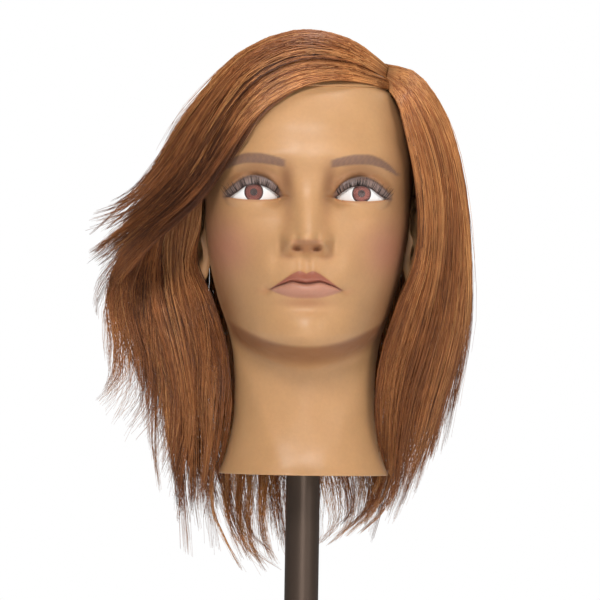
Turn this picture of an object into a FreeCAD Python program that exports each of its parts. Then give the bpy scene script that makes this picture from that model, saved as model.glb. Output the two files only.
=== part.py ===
"""A hairdresser's training head on a bench clamp.

A hollow vinyl head and neck with a foam core, set-in eyes, lashes and an implanted scalp of shoulder-length
hair sits on a swivelling spigot. The spigot turns in the top of a round post, the post tilts in a knuckle,
and the knuckle belongs to a C-shaped clamp that grips the edge of a bench.

Frame: millimetres, +Z up, the face looks along -Y. The origin is where the post's axis meets the underside
of the upper jaw's pad, which is the plane of the bench top. Heights on the head are measured from the rim of
the neck, and head_z() turns them into Z.
"""

import FreeCAD, Part

import math
import os

V = FreeCAD.Vector

# ---- head and neck ----
NECK_Z = 166.0  # rim of the neck above the bench
CROWN = 277.5  # top of the bare skull above the rim
WALL = 3.6  # vinyl wall
CORE_GAP = 0.3  # between the wall and what is put inside it
SCALP_WALL = 1.8  # implanted skin over the skull
SCALP_GAP = 0.05
HAIRLINE_FRONT = (-72.0, 252.0)  # Y and height where the scalp ends on the forehead
HAIRLINE_NAPE = (62.0, 84.0)  # the same at the nape
EAR = dict(x=66.5, y=16.0, height=153.0, thick=8.0, deep=15.0, tall=30.0, splay=24.0, lean=10.0)
EAR_BOWL = dict(thick=0.75, deep=0.55, tall=0.5, out=0.95, forward=0.15)  # shares of the ear's own sizes
EAR_ROOM_IN_SCALP = 0.6

# Sections of head and neck: height, half width, front depth, back depth, depth of the widest place.
SECTIONS = [
    (0, 55.0, 56.0, 58.0, 0),
    (6, 52.6, 53.0, 55.5, 0),
    (14, 50.0, 50.5, 53.0, 0),
    (26, 47.2, 48.0, 51.0, 0),
    (42, 45.2, 46.5, 50.5, 0),
    (58, 45.2, 47.5, 52.0, 0),
    (68, 45.8, 52.0, 54.0, 0),
    (74, 46.3, 64.0, 55.5, 0),
    (79, 46.9, 80.0, 57.0, 0),
    (84, 47.8, 90.5, 59.0, 0),
    (90, 49.2, 94.5, 62.0, 0),
    (98, 51.6, 95.0, 66.0, 1),
    (112, 56.5, 94.0, 73.0, 3),
    (131, 61.5, 94.5, 82.0, 5),
    (150, 64.8, 93.5, 90.0, 7),
    (177, 67.0, 89.5, 97.0, 9),
    (200, 68.6, 90.5, 99.5, 10),
    (220, 68.6, 88.0, 98.0, 11),
    (240, 63.5, 78.5, 91.0, 12),
    (256, 53.0, 63.0, 78.0, 13),
    (268, 38.0, 42.0, 60.0, 14),
    (275, 21.0, 16.0, 40.0, 14),
    (CROWN, 7.0, -6.0, 22.0, 14),
]
SKULL_SQUARE = 2.25  # how square the back is, where 2 is an ellipse
# The same for the face: height and squareness.
FACE_SQUARE = [
    (70, 2.05),
    (98, 2.0),
    (131, 2.1),
    (150, 2.3),
    (168, 2.7),
    (190, 2.75),
    (215, 2.4),
    (256, 2.2),
    (268, 2.1),
]
JAW_RISE = 22.0  # how much higher the jaw's edge lies at the side than at the chin

# Bridge of the nose: height, how far it stands out, half width.
NOSE_BRIDGE = [
    (139, 0.0, 9.0),
    (142, 0.5, 11.0),
    (144, 4.5, 11.0),
    (147, 12.0, 10.0),
    (151, 18.0, 9.5),
    (156, 16.0, 9.0),
    (165, 9.5, 8.5),
    (175, 4.2, 8.0),
    (184, 1.0, 8.5),
    (194, 0.0, 11.0),
]

# ---- eyes ----
EYE = dict(x=34.4, height=181.0, depth=-63.5, radius=16.5)
EYE_OPENING = dict(inner=18.6, outer=50.4, low=174.8, corner=177.0, high=186.2)
IRIS_R, PUPIL_R = 6.1, 2.3
IRIS_THICK = 0.8
IRIS_SUNK = 1.6  # of the iris's back behind the ball's surface at its edge
EYE_FIT = 0.15
LASH_THICK, LASH_REACH = 0.5, 8.0
LASH_FIT = 0.1  # under the edge of the lid
LASH_BACK = 0.4  # in front of the ball
LASH_ABOVE_CORNER = 1.5
FAR_FRONT = 130.0  # in front of everything on the face

# ---- socket in the neck and swivelling spigot ----
POST_R, POST_WALL = 11.0, 1.5
POST_TOP = 62.0  # top of the post above the rim
SOCKET_WALL = 3.0
SOCKET_CLEAR = 1.0  # round the post
SPIGOT_LOW_R, SPIGOT_HIGH_R, SPIGOT_TALL = 10.6, 8.8, 38.0
SPIGOT_FIT = 0.2
SHAFT_R, SHAFT_FIT = 5.0, 0.05
BUSH_FLANGE = 2.0
BUSH_LONG = 24.0
END_PLAY = 1.0  # between the bush and the washer that holds the spigot down
KEEPER_R, KEEPER_HOLE, KEEPER_THICK = POST_R - POST_WALL - 0.4, 2.1, 1.5
KEEPER_SCREW_R, KEEPER_SCREW_LONG, KEEPER_HEAD_R, KEEPER_HEAD = 2.0, 13.0, 4.0, 3.0
RUN_GAP = 0.3
PLUG_RECESS, PLUG_THICK = 2.5, 5.0
PLUG_FIT = 0.1  # between plug and socket
SOCKET_SUNK = 0.5  # of the socket's flange inside the rim
FLANGE_WIDE = 4.0
CORE_FLOOR = 0.5  # between the plug and the foam
RING_R = 1.1  # half the thickness of a rubber grip ring
RING_PROUD = 0.12

# ---- tilting knuckle ----
AXIS_Z = 32.0
TONGUE_R = 12.5  # round end of the knuckle's tongue
SHOULDER = 1.0  # the tongue's neck is this much narrower on each side than its end
TONGUE_HALF = 8.7
EAR_GAP = 0.3
LUG_THICK = 8.0
LUG_R = 13.0
CUP_WALL = 4.0  # of the cup round the post
CUP_R = POST_R + CUP_WALL
CUP_LOW, CUP_TOP, CUP_FLOOR = 16.0, 46.0, 4.0  # heights above the tilting axis, and the floor's thickness
SCREW_R, SCREW_SUNK, KEY_DEEP = 2.0, 0.4, 1.6
SCREW_Z = AXIS_Z + CUP_LOW + 18.0
BOLT_R, BOLT_FIT = 4.0, 0.05
BOLT_HEAD_AF, BOLT_HEAD = 13.0, 5.3
WASHER_R, WASHER_THICK, WASHER_FIT = BOLT_R + 4.5, 1.6, 0.3
HUB_R, HUB_LONG = BOLT_R + 5.5, 15.0
HUB_FLOOR = 2.8  # closes the hub over the bolt's end
BOLT_SHORT = 0.2  # the bolt ends this much before the bottom of the hub's bore
ARM_ROOT_R, ARM_TIP_R, GRIP_R = 4.6, 3.8, 6.2
ARM_INSET = 5.0  # of the lever's arm from the hub's outer face
LEVER_REACH, LEVER_RISE = 58.0, 18.0
TILT = 30.0

# ---- bench clamp ----
FRAME_HALF = 18.0  # half the width of the C frame
PAD_THICK = 2.5
JAW_THICK = 15.0
THROAT = 72.0
LOWER_THICK = 16.0
SPINE_IN, SPINE_THICK = 34.0, 14.0
POCKET_DEEP, POCKET_RIM, POCKET_END = 4.0, 4.0, 6.0  # hollow in each side of the spine
PAD_INSET = dict(side=2.0, front=4.0, back=7.0, corner=2.0)  # of the rubber pad from the jaw's edges
JAW_TIP = -38.0
LOWER_TIP = -19.0
BENCH = 30.0  # bench thickness between the pads at rest
DISC_R, DISC_THICK, DISC_PAD = 17.0, 6.0, 2.0
SPINDLE_R = 6.0
SPINDLE_LONG = 118.0
BALL_R, BALL_FIT = 5.0, 0.05
BALL_NECK = 1.4  # how much thinner the neck is than the ball
BALL_ROOF = 1.4  # of the disc above the ball
MOUTH_LIP = 0.4  # how far the socket's mouth closes round the ball
DISC_BOSS, DISC_BOSS_WALL = 5.0, 4.0
BUSH_WALL, BUSH_RUN = 3.5, 0.05
BUSH_R = SPINDLE_R + BUSH_WALL
BUSH_RIM_R, BUSH_RIM = BUSH_R + 2.5, 2.0
SEAT_WALL, SEAT_PROUD = 3.0, 4.0  # of the frame's boss round the bush, and how far it stands out below
SPINDLE_HEAD_R, SPINDLE_HEAD = SPINDLE_R + 3.0, 16.0
NECK_LONG = 11.0
BAR_R, BAR_LONG, BAR_FIT = 3.5, 92.0, 0.1
KNOB_R, KNOB_LONG, KNOB_PAST = 6.0, 11.0, 2.0  # the knob reaches past the bar's end
ROUND_SMALL, ROUND_HUB, ROUND_KNOB = 1.2, 1.5, 1.8  # rounded edges
DISC_PAD_INSET = 1.5

# ---- hair ----
HAIR_LIFT = 0.5  # above the scalp
# Outer form of the hair: height, reach to the left, right, front and back.
HAIR_OUTER = [
    (-64, 52, 34, 30, 82),
    (-50, 62, 44, 36, 92),
    (-30, 78, 58, 42, 101),
    (0, 101, 84, 50, 110),
    (30, 118, 95, 56, 117),
    (60, 129, 103, 62, 122),
    (95, 135, 107, 66, 126),
    (130, 137, 106, 72, 127),
    (155, 128, 104, 80, 127),
    (178, 112, 101, 90, 125),
    (200, 98, 96, 99, 121),
    (222, 87, 86, 101, 115),
    (242, 76, 74, 92, 104),
    (262, 58, 55, 68, 83),
    (276, 34, 32, 34, 52),
    (284, 14, 14, 6, 26),
]
HAIR_CENTRE_Y = 14.0
HAIR_SQUARE = 2.2
PART_X = 50.0  # the parting
SIDE_TOP = 205.0  # the top section ends here and the side sections begin
SIDE_BACK_Y = 34.0  # the side sections end here and the back section begins
EAR_ROOM = 86.0  # half the width between the side sections at the ears
NECK_ROOM = 62.0
CURTAIN_FRONT = -24.0
# Room inside the hair: height, half width, front, back.
HAIR_ROOM = [
    (-90, NECK_ROOM, NECK_ROOM, NECK_ROOM + 2),
    (-20, NECK_ROOM, NECK_ROOM, NECK_ROOM + 2),
    (30, NECK_ROOM, NECK_ROOM, NECK_ROOM + 1),
    (80, NECK_ROOM + 6, 100, NECK_ROOM + 8),
    (115, EAR_ROOM, 105, 82),
    (185, EAR_ROOM, 105, 103),
    (204, 72, 97, 103),
    (212, 60, 80, 90),
]
# Edge of the hair round the face, from low on the left, over the forehead, to low on the right: X, height.
FACE_WINDOW = [
    (-64, -90),
    (-64, 160),
    (-60, 186),
    (-48, 206),
    (-36, 226),
    (-20, 243),
    (2, 250),
    (30, 251),
    (50, 244),
    (58, 228),
    (62, 200),
    (66, 160),
    (66, -90),
]

def head_z(height):
    """Z of a height on the head."""
    return NECK_Z + height


def smooth_between(rows, height, column):
    """A column of a table at a height, by cubic pieces that don't overshoot."""
    if height <= rows[0][0]:
        return rows[0][column]
    if height >= rows[-1][0]:
        return rows[-1][column]
    k = max(i for i in range(len(rows) - 1) if rows[i][0] <= height)
    step = rows[k + 1][0] - rows[k][0]
    t = (height - rows[k][0]) / step

    def slope(i):
        if i <= 0 or i >= len(rows) - 1:
            return 0.0 if 0 < i else _rise(rows, 0, column)
        a, b = _rise(rows, i - 1, column), _rise(rows, i, column)
        return 0.0 if a * b <= 0 else 2 * a * b / (a + b)

    low, high = rows[k][column], rows[k + 1][column]
    ends = slope(k) * step, (slope(k + 1) if k + 1 < len(rows) - 1 else _rise(rows, k, column)) * step
    return (
        (2 * t**3 - 3 * t**2 + 1) * low
        + (t**3 - 2 * t**2 + t) * ends[0]
        + (3 * t**2 - 2 * t**3) * high
        + (t**3 - t**2) * ends[1]
    )


def _rise(rows, i, column):
    return (rows[i + 1][column] - rows[i][column]) / (rows[i + 1][0] - rows[i][0])


def ramp(value, low, high):
    """0 at low, 1 at high, smooth between, either way round."""
    t = min(1.0, max(0.0, (value - low) / (high - low)))
    return t * t * (3 - 2 * t)


def bump(x, height, at_x, at_height, wide, tall):
    """A rounded swelling, 1 at its middle."""
    return math.exp(-(((x - at_x) / wide) ** 2) - ((height - at_height) / tall) ** 2)


def features(x, height):
    """How far the face stands forward of the plain section."""
    side = abs(x)
    rise = smooth_between(NOSE_BRIDGE, height, 1)
    wide = smooth_between(NOSE_BRIDGE, height, 2)
    nose = rise * math.exp(-((side / wide) ** 2.3))
    wings = 6.0 * bump(side, height, 11.0, 148.5, 4.6, 4.6)
    sockets = -6.0 * bump(side, height, 31.0, 188.0, 17.0, 9.5)
    corners = -3.5 * bump(side, height, 15.0, 184.0, 6.0, 8.0)
    lids = 3.5 * bump(side, height, EYE["x"], 181.0, 15.0, 8.5)
    brow = 1.8 * bump(side, height, 28.0, 203.0, 22.0, 6.0)
    cheek = 2.5 * bump(side, height, 42.0, 156.0, 16.0, 18.0)
    lips = 4.6 * bump(side, height, 0.0, 122.0, 17.0, 8.5)
    mouth = -2.0 * bump(side, height, 0.0, 122.8, 19.0, 1.8)
    chin = 3.0 * bump(side, height, 0.0, 91.0, 17.0, 9.0) - 2.0 * bump(side, height, 0.0, 106.0, 15.0, 4.5)
    return nose + wings + sockets + corners + lids + brow + cheek + lips + mouth + chin


def squarish(angle, half, deep, power):
    """Radius of a superellipse at an angle, where a power of 2 is an ellipse."""
    return ((abs(math.cos(angle)) / half) ** power + (abs(math.sin(angle)) / deep) ** power) ** (-1 / power)


def head_radius(angle, height):
    """Distance of the skin from the head's axis, and the Y of that axis, at a height."""
    centre = smooth_between(SECTIONS, height, 4)
    cos, sin = math.cos(angle), math.sin(angle)
    half = smooth_between(SECTIONS, height, 1)
    if sin < 0:
        jaw = height - JAW_RISE * cos * cos * ramp(height, 118, 95) * ramp(height, 60, 74)
        deep, power = smooth_between(SECTIONS, jaw, 2) + centre, smooth_between(FACE_SQUARE, height, 1)
    else:
        deep, power = smooth_between(SECTIONS, height, 3) - centre, SKULL_SQUARE
    radius = squarish(angle, half, deep, power)
    if sin < 0:
        radius += features(radius * cos, height) * ramp(-sin, 0.25, 0.8) / max(0.6, -sin)
    return radius, centre


HEIGHTS = (
    [-1.0, 0.0, 4.0, 9.0, 16.0, 26.0, 38.0, 50.0, 60.0]
    + [66.0 + 3.0 * i for i in range(11)]
    + [100.0 + 4.0 * i for i in range(9)]
    + [135.0 + 2.6 * i for i in range(26)]
    + [207.0, 215.0, 224.0, 233.0, 242.0, 250.0, 257.0, 263.0, 268.0, 272.0, 275.0, CROWN]
)
ANGLES = 72
FRONT_CROWDING = 0.62


def ring_angles():
    """Angles round the head, closer together at the face."""
    turn = 2 * math.pi
    for i in range(ANGLES):
        u = turn * i / ANGLES
        yield u - FRONT_CROWDING * math.sin(u) - math.pi / 2


def skin(rings):
    """A closed solid over a stack of closed rings of control points, flat at its two ends."""
    around, along, degree = len(rings[0]), len(rings), 3
    poles = [[rings[j][i] for j in range(along)] for i in range(around)]
    surface = Part.BSplineSurface()
    inner = along - degree - 1
    surface.buildFromPolesMultsKnots(
        poles,
        [1] * (around + 1),
        [degree + 1] + [1] * inner + [degree + 1],
        [float(i) for i in range(around + 1)],
        [float(i) for i in range(inner + 2)],
        True,
        False,
        degree,
        degree,
    )
    side = surface.toShape()
    caps = []
    for v in (0.0, float(inner + 1)):
        rim = surface.vIso(v).toShape()
        caps.append(Part.Face(Part.Wire([rim])))
    shell = Part.Shell([side] + caps)
    shell.sewShape()
    solid = Part.Solid(shell)
    if solid.Volume < 0:
        solid.reverse()
    return solid


def head_form(grow, low, high):
    """The head grown outwards by a distance, or shrunk where it is negative, between two heights."""
    heights = [h for h in HEIGHTS if low + 0.5 < h < high - 1.0]
    rings = []
    pick = max if grow > 0 else min
    reach = abs(grow)
    for height in [low] + heights + [high]:
        ring = []
        for angle in ring_angles():
            radius, centre = head_radius(angle, height)
            if grow:
                near = [
                    head_radius(angle + turn, height + rise)[0]
                    for turn in (-0.03, 0.0, 0.03)
                    for rise in (-reach, 0.0, reach)
                ]
                radius = max(1.5, pick(near) + grow)
            x, y = radius * math.cos(angle), centre + radius * math.sin(angle)
            ring.append(V(x, y, head_z(height)))
        rings.append(ring)
    return skin(rings)


def box(low, high):
    size = [b - a for a, b in zip(low, high)]
    return Part.makeBox(*size, V(*low))


def tube(radius, low, high, x=0.0, y=0.0):
    """An upright cylinder between two values of Z."""
    return Part.makeCylinder(radius, high - low, V(x, y, low))


def cross_rod(radius, low, high, y=0.0, z=0.0):
    """A cylinder along X between two values of X."""
    return Part.makeCylinder(radius, high - low, V(low, y, z), V(1, 0, 0))


def mirrored(shape, side):
    """The shape itself on the right, side 1, or its mirror image on the left, side -1."""
    return shape if side > 0 else shape.mirror(V(0, 0, 0), V(1, 0, 0))


def above_hairline(drop=0.0):
    """Everything above the sloping plane of the hairline."""
    (front_y, front_h), (nape_y, nape_h) = HAIRLINE_FRONT, HAIRLINE_NAPE
    slope = math.degrees(math.atan2(nape_h - front_h, nape_y - front_y))
    reach = 400.0
    block = Part.makeBox(2 * reach, 2 * reach, reach, V(-reach, -reach, 0))
    block.rotate(V(0, 0, 0), V(1, 0, 0), slope)
    block.translate(V(0, front_y, head_z(front_h) - drop))
    return block


def stretched_ball(half_x, half_y, half_z):
    ball = Part.makeSphere(1.0)
    grow = FreeCAD.Matrix()
    grow.scale(V(half_x, half_y, half_z))
    return ball.transformGeometry(grow)


def ear_solid(side, grow=0.0):
    """An outer ear with its hollow, standing out from the side of the head."""
    ear = stretched_ball(EAR["thick"] + grow, EAR["deep"] + grow, EAR["tall"] + grow)
    if not grow:
        bowl = stretched_ball(*(EAR[key] * EAR_BOWL[key] for key in ("thick", "deep", "tall")))
        bowl.translate(V(EAR["thick"] * EAR_BOWL["out"], -EAR["deep"] * EAR_BOWL["forward"], 1.0))
        ear = ear.cut(bowl)
    ear.rotate(V(0, 0, 0), V(0, 0, 1), -EAR["splay"])
    ear.rotate(V(0, 0, 0), V(1, 0, 0), -EAR["lean"])
    ear.translate(V(EAR["x"], EAR["y"], head_z(EAR["height"])))
    return mirrored(ear, side)


def eye_centre(side):
    return V(side * EYE["x"], EYE["depth"], head_z(EYE["height"]))


def eye_seat(side):
    """Ball-shaped seat round the eye, with its seam turned to the back of the head."""
    seat = Part.makeSphere(EYE["radius"] + EYE_FIT)
    seat.rotate(V(0, 0, 0), V(0, 0, 1), 90.0 - side * 20.0)
    seat.translate(eye_centre(side))
    return seat


def eye_opening(side):
    """The almond-shaped cut between the lids, right through the wall."""
    inner, outer = EYE_OPENING["inner"], EYE_OPENING["outer"]
    corner_z = head_z(EYE_OPENING["corner"])
    start, end = V(inner, -FAR_FRONT, corner_z), V(outer, -FAR_FRONT, corner_z)
    top = V((inner + outer) / 2, -FAR_FRONT, head_z(EYE_OPENING["high"]))
    bottom = V((inner + outer) / 2, -FAR_FRONT, head_z(EYE_OPENING["low"]))
    edges = [Part.Arc(start, top, end).toShape(), Part.Arc(end, bottom, start).toShape()]
    almond = Part.Face(Part.Wire(edges))
    return mirrored(almond.extrude(V(0, FAR_FRONT + EYE["depth"], 0)), side)


def eyeball(side):
    """White ball with a round pocket that takes the iris."""
    centre = eye_centre(side)
    ball = Part.makeSphere(EYE["radius"], centre)
    return ball.cut(iris_pocket(side))


def iris_plane():
    """How far in front of the eye's centre the iris's back lies."""
    return math.sqrt(EYE["radius"] ** 2 - IRIS_R**2) - IRIS_SUNK


def iris_pocket(side):
    centre = eye_centre(side)
    return Part.makeCylinder(IRIS_R, EYE["radius"], centre + V(0, -iris_plane(), 0), V(0, -1, 0))


def iris(side):
    back = eye_centre(side) + V(0, -iris_plane(), 0)
    disc = Part.makeCylinder(IRIS_R, IRIS_THICK, back, V(0, -1, 0))
    return disc.cut(Part.makeCylinder(PUPIL_R, IRIS_THICK, back, V(0, -1, 0)))


def pupil(side):
    back = eye_centre(side) + V(0, -iris_plane(), 0)
    return Part.makeCylinder(PUPIL_R, IRIS_THICK, back, V(0, -1, 0))


def cornea(side):
    """Clear lens that closes the pocket over the iris, flush with the white."""
    ball = Part.makeSphere(EYE["radius"], eye_centre(side))
    front = eye_centre(side) + V(0, -iris_plane() - IRIS_THICK, 0)
    return ball.common(Part.makeCylinder(IRIS_R, EYE["radius"], front, V(0, -1, 0)))


def lid_arch():
    """Height of the centre and radius of the arch that the upper lid's edge follows."""
    half = (EYE_OPENING["outer"] - EYE_OPENING["inner"]) / 2
    rise = EYE_OPENING["high"] - EYE_OPENING["corner"]
    radius = (half**2 + rise**2) / (2 * rise)
    return EYE_OPENING["high"] - radius, radius


def lash_strip(side):
    """Arched strip of lashes glued inside the edge of the upper lid."""
    height, radius = lid_arch()
    middle = (EYE_OPENING["outer"] + EYE_OPENING["inner"]) / 2
    over = EYE_OPENING["high"] - EYE["height"]
    root = EYE["depth"] - math.sqrt(EYE["radius"] ** 2 - over**2) - LASH_BACK
    start, forward = V(middle, root, head_z(height)), V(0, -1, 0)
    outer = Part.makeCylinder(radius - LASH_FIT, LASH_REACH, start, forward)
    inner = Part.makeCylinder(radius - LASH_FIT - LASH_THICK, LASH_REACH, start, forward)
    corner = head_z(EYE_OPENING["corner"] + LASH_ABOVE_CORNER)
    above = box((0, -200, corner), (100, 0, corner + 50))
    return mirrored(outer.cut(inner).common(above), side)


def cavity():
    """Inside of the vinyl wall, open at the rim of the neck."""
    return head_form(-WALL, -1.0, CROWN - WALL)


def head_shell():
    """The vinyl moulding of face, skull, ears and neck."""
    rim = box((-80, -80, head_z(-5)), (80, 80, head_z(0)))
    outer = head_form(0.0, -1.0, CROWN).cut(rim)
    for side in (1, -1):
        outer = outer.fuse(ear_solid(side))
    shell = outer.cut(cavity())
    for side in (1, -1):
        shell = shell.cut(eye_seat(side))
        shell = shell.cut(eye_opening(side))
    return shell


def socket_top():
    """Z of the socket's ceiling, where the head's weight rests on the spigot."""
    return spigot_low() + SPIGOT_TALL


def spigot_low():
    return head_z(POST_TOP) + BUSH_FLANGE + RUN_GAP


def foam_core():
    """Foam that fills the skull round the socket, behind the eyes and clear of the lids' openings."""
    bottom = head_z(PLUG_RECESS + PLUG_THICK + CORE_FLOOR)
    inside = head_form(-WALL - CORE_GAP, -1.0, CROWN - WALL - CORE_GAP)
    inside = inside.cut(box((-90, -130, head_z(-6)), (90, 130, bottom)))
    inside = inside.cut(tube(socket_outer_r() + CORE_GAP, head_z(-6), socket_top() + SOCKET_WALL + CORE_GAP))
    for side in (1, -1):
        inside = inside.cut(eye_seat(side)).cut(eye_opening(side))
    return inside


def socket_outer_r():
    return POST_R + SOCKET_CLEAR + SOCKET_WALL


def neck_plug():
    """Stiff disc that closes the neck and carries the socket."""
    low, high = head_z(PLUG_RECESS), head_z(PLUG_RECESS + PLUG_THICK)
    disc = head_form(-WALL - CORE_GAP, -1.0, 26.0).common(box((-80, -80, low), (80, 80, high)))
    return disc.cut(tube(socket_outer_r() + PLUG_FIT, low - 1, high + 1))


def socket_sleeve():
    """Blind socket: a straight bore that clears the post, then a taper that seats on the spigot."""
    low, top = head_z(SOCKET_SUNK), socket_top()
    outer = tube(socket_outer_r(), low, top + SOCKET_WALL)
    flange = tube(socket_outer_r() + FLANGE_WIDE, low, head_z(PLUG_RECESS))
    straight = tube(POST_R + SOCKET_CLEAR, low - 1, spigot_low())
    taper = Part.makeCone(
        SPIGOT_LOW_R + SPIGOT_FIT, SPIGOT_HIGH_R + SPIGOT_FIT, SPIGOT_TALL, V(0, 0, spigot_low())
    )
    return outer.fuse(flange).cut(straight).cut(taper)


def scalp_cap():
    """Implanted skin that covers the skull above the hairline, split round the ears."""
    outer = head_form(SCALP_WALL, 40.0, CROWN + SCALP_WALL)
    cap = outer.common(above_hairline()).cut(head_form(SCALP_GAP, -1.0, CROWN + SCALP_GAP))
    for side in (1, -1):
        cap = cap.cut(ear_solid(side, grow=EAR_ROOM_IN_SCALP))
    return largest(cap)


def largest(shape):
    """The biggest solid of a shape that a cut may have left with crumbs."""
    return max(shape.Solids, key=lambda s: s.Volume)


def hair_envelope():
    """The whole mass of hair before it is split into sections."""
    rings = []
    for height, left, right, front, back in HAIR_OUTER:
        ring = []
        for i in range(40):
            angle = 2 * math.pi * i / 40
            cos, sin = math.cos(angle), math.sin(angle)
            half = right if cos > 0 else left
            deep = back - HAIR_CENTRE_Y if sin > 0 else front + HAIR_CENTRE_Y
            radius = squarish(angle, half, deep, HAIR_SQUARE)
            ring.append(V(radius * cos, HAIR_CENTRE_Y + radius * sin, head_z(height)))
        rings.append(ring)
    return skin(rings)


def hair_room():
    """What the hair hangs clear of: scalp, ears, cheeks and neck."""
    rings = []
    for height, half, front, back in HAIR_ROOM:
        ring = []
        for i in range(32):
            angle = 2 * math.pi * i / 32
            radius = squarish(angle, half, back if math.sin(angle) > 0 else front, HAIR_SQUARE)
            ring.append(V(radius * math.cos(angle), radius * math.sin(angle), head_z(height)))
        rings.append(ring)
    return skin(rings)


def face_window():
    """The opening of the hair in front of the face and neck."""
    points = [V(x, -200.0, head_z(h)) for x, h in FACE_WINDOW]
    curve = Part.BSplineCurve()
    curve.interpolate(points[1:-1])
    edges = [
        Part.LineSegment(points[0], points[1]).toShape(),
        curve.toShape(),
        Part.LineSegment(points[-2], points[-1]).toShape(),
        Part.LineSegment(points[-1], points[0]).toShape(),
    ]
    return Part.Face(Part.Wire(edges)).extrude(V(0, 200.0 + CURTAIN_FRONT, 0))


def hair_sections():
    """The hair split at the parting, above the ears and behind them: name to solid."""
    hair = hair_envelope().cut(head_form(SCALP_WALL + HAIR_LIFT, -1.0, CROWN + SCALP_WALL + HAIR_LIFT))
    hair = hair.cut(hair_room()).cut(face_window())
    split, far = head_z(SIDE_TOP), 400.0
    low = head_z(-120)
    regions = {
        "hair_top_sweep": box((-far, -far, split), (PART_X, far, far + split)),
        "hair_right_crown": box((PART_X, -far, split), (far, far, far + split)),
        "hair_left_side": box((-far, -far, low), (0, SIDE_BACK_Y, split)),
        "hair_right_side": box((0, -far, low), (far, SIDE_BACK_Y, split)),
        "hair_back": box((-far, SIDE_BACK_Y, low), (far, far, split)),
    }
    return {name: largest(hair.common(region)) for name, region in regions.items()}


def post_tube():
    bottom, top = AXIS_Z + CUP_LOW + CUP_FLOOR, head_z(POST_TOP)
    return tube(POST_R, bottom, top).cut(tube(POST_R - POST_WALL, bottom - 1, top + 1))


def post_knuckle():
    """Tongue that tilts between the frame's lugs, with the cup that holds the post."""
    tongue = cross_rod(TONGUE_R, -TONGUE_HALF, TONGUE_HALF, 0, AXIS_Z)
    half = TONGUE_R - SHOULDER
    neck = box((-TONGUE_HALF, -half, AXIS_Z), (TONGUE_HALF, half, AXIS_Z + CUP_LOW + 1))
    cup = tube(CUP_R, AXIS_Z + CUP_LOW, AXIS_Z + CUP_TOP)
    cup = cup.makeFillet(ROUND_SMALL, [e for e in cup.Edges if e.Closed])
    body = tongue.fuse(neck).fuse(cup).removeSplitter()
    body = body.cut(tube(POST_R, AXIS_Z + CUP_LOW + CUP_FLOOR, AXIS_Z + CUP_TOP + 1))
    body = body.cut(cross_rod(BOLT_R + BOLT_FIT, -20, 20, 0, AXIS_Z))
    return body.cut(set_screw_hole())


def set_screw_hole():
    return Part.makeCylinder(SCREW_R, CUP_WALL + 2.0, V(0, POST_R, SCREW_Z), V(0, 1, 0))


def set_screw():
    """Grub screw that holds the post in its cup, with a hexagon socket."""
    screw = Part.makeCylinder(SCREW_R, CUP_WALL - SCREW_SUNK, V(0, POST_R, SCREW_Z), V(0, 1, 0))
    key = hexagon(SCREW_R, KEY_DEEP)
    key.rotate(V(0, 0, 0), V(1, 0, 0), -90)
    key.translate(V(0, CUP_R - SCREW_SUNK - KEY_DEEP, SCREW_Z))
    return screw.cut(key)


def hexagon(across_flats, tall):
    """Upright hexagonal prism on the origin."""
    radius = across_flats / math.sqrt(3)
    turns = [math.pi * i / 3 for i in range(6)]
    corners = [V(radius * math.cos(turn), radius * math.sin(turn), 0) for turn in turns]
    return Part.Face(Part.makePolygon(corners + corners[:1])).extrude(V(0, 0, tall))


def swivel_bush():
    """Plastic bush pressed into the top of the post."""
    top = head_z(POST_TOP)
    body = tube(POST_R - POST_WALL, top - BUSH_LONG, top).fuse(tube(POST_R, top, top + BUSH_FLANGE))
    return body.cut(tube(SHAFT_R + SHAFT_FIT, top - BUSH_LONG - 1, top + BUSH_FLANGE + 1))


def ring_heights():
    return [spigot_low() + SPIGOT_TALL * share for share in (0.3, 0.65)]


def ring_radius(z):
    """Radius of the spigot's taper at a height."""
    share = (z - spigot_low()) / SPIGOT_TALL
    return SPIGOT_LOW_R + (SPIGOT_HIGH_R - SPIGOT_LOW_R) * share


def swivel_spigot():
    """Tapered spigot that the head sits on, with its shaft down through the bush."""
    low = spigot_low()
    taper = Part.makeCone(SPIGOT_LOW_R, SPIGOT_HIGH_R, SPIGOT_TALL, V(0, 0, low))
    shaft = tube(SHAFT_R, shaft_bottom(), low + 1)
    body = taper.fuse(shaft)
    body = body.cut(tube(KEEPER_SCREW_R, shaft_bottom() - 1, shaft_bottom() + KEEPER_SCREW_LONG))
    for z in ring_heights():
        body = body.cut(Part.makeTorus(ring_radius(z) + RING_PROUD - RING_R, RING_R, V(0, 0, z)))
    return body


def shaft_bottom():
    return head_z(POST_TOP) - BUSH_LONG - END_PLAY


def grip_rings():
    """Two rubber rings that grip the inside of the socket."""
    rings = []
    for z in ring_heights():
        rings.append(Part.makeTorus(ring_radius(z) + RING_PROUD - RING_R, RING_R, V(0, 0, z)))
    return Part.makeCompound(rings)


def retaining_washer():
    top = shaft_bottom()
    low = top - KEEPER_THICK
    return tube(KEEPER_R, low, top).cut(tube(KEEPER_HOLE, low - 1, top + 1))


def retaining_screw():
    """Screw up into the shaft, which holds the spigot down."""
    top = shaft_bottom() - KEEPER_THICK
    thread = tube(KEEPER_SCREW_R, top, top + KEEPER_SCREW_LONG)
    return thread.fuse(tube(KEEPER_HEAD_R, top - KEEPER_HEAD, top))


def lug(side):
    """One of the frame's two lugs, beside the knuckle's tongue."""
    inner = TONGUE_HALF + EAR_GAP
    low, high = (inner, inner + LUG_THICK) if side > 0 else (-inner - LUG_THICK, -inner)
    top = PAD_THICK + JAW_THICK
    return cross_rod(LUG_R, low, high, 0, AXIS_Z).fuse(box((low, -LUG_R, top - 1), (high, LUG_R, AXIS_Z)))


def lug_face():
    """X of the lugs' outer faces."""
    return TONGUE_HALF + EAR_GAP + LUG_THICK


def lower_jaw_top():
    return -THROAT


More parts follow.
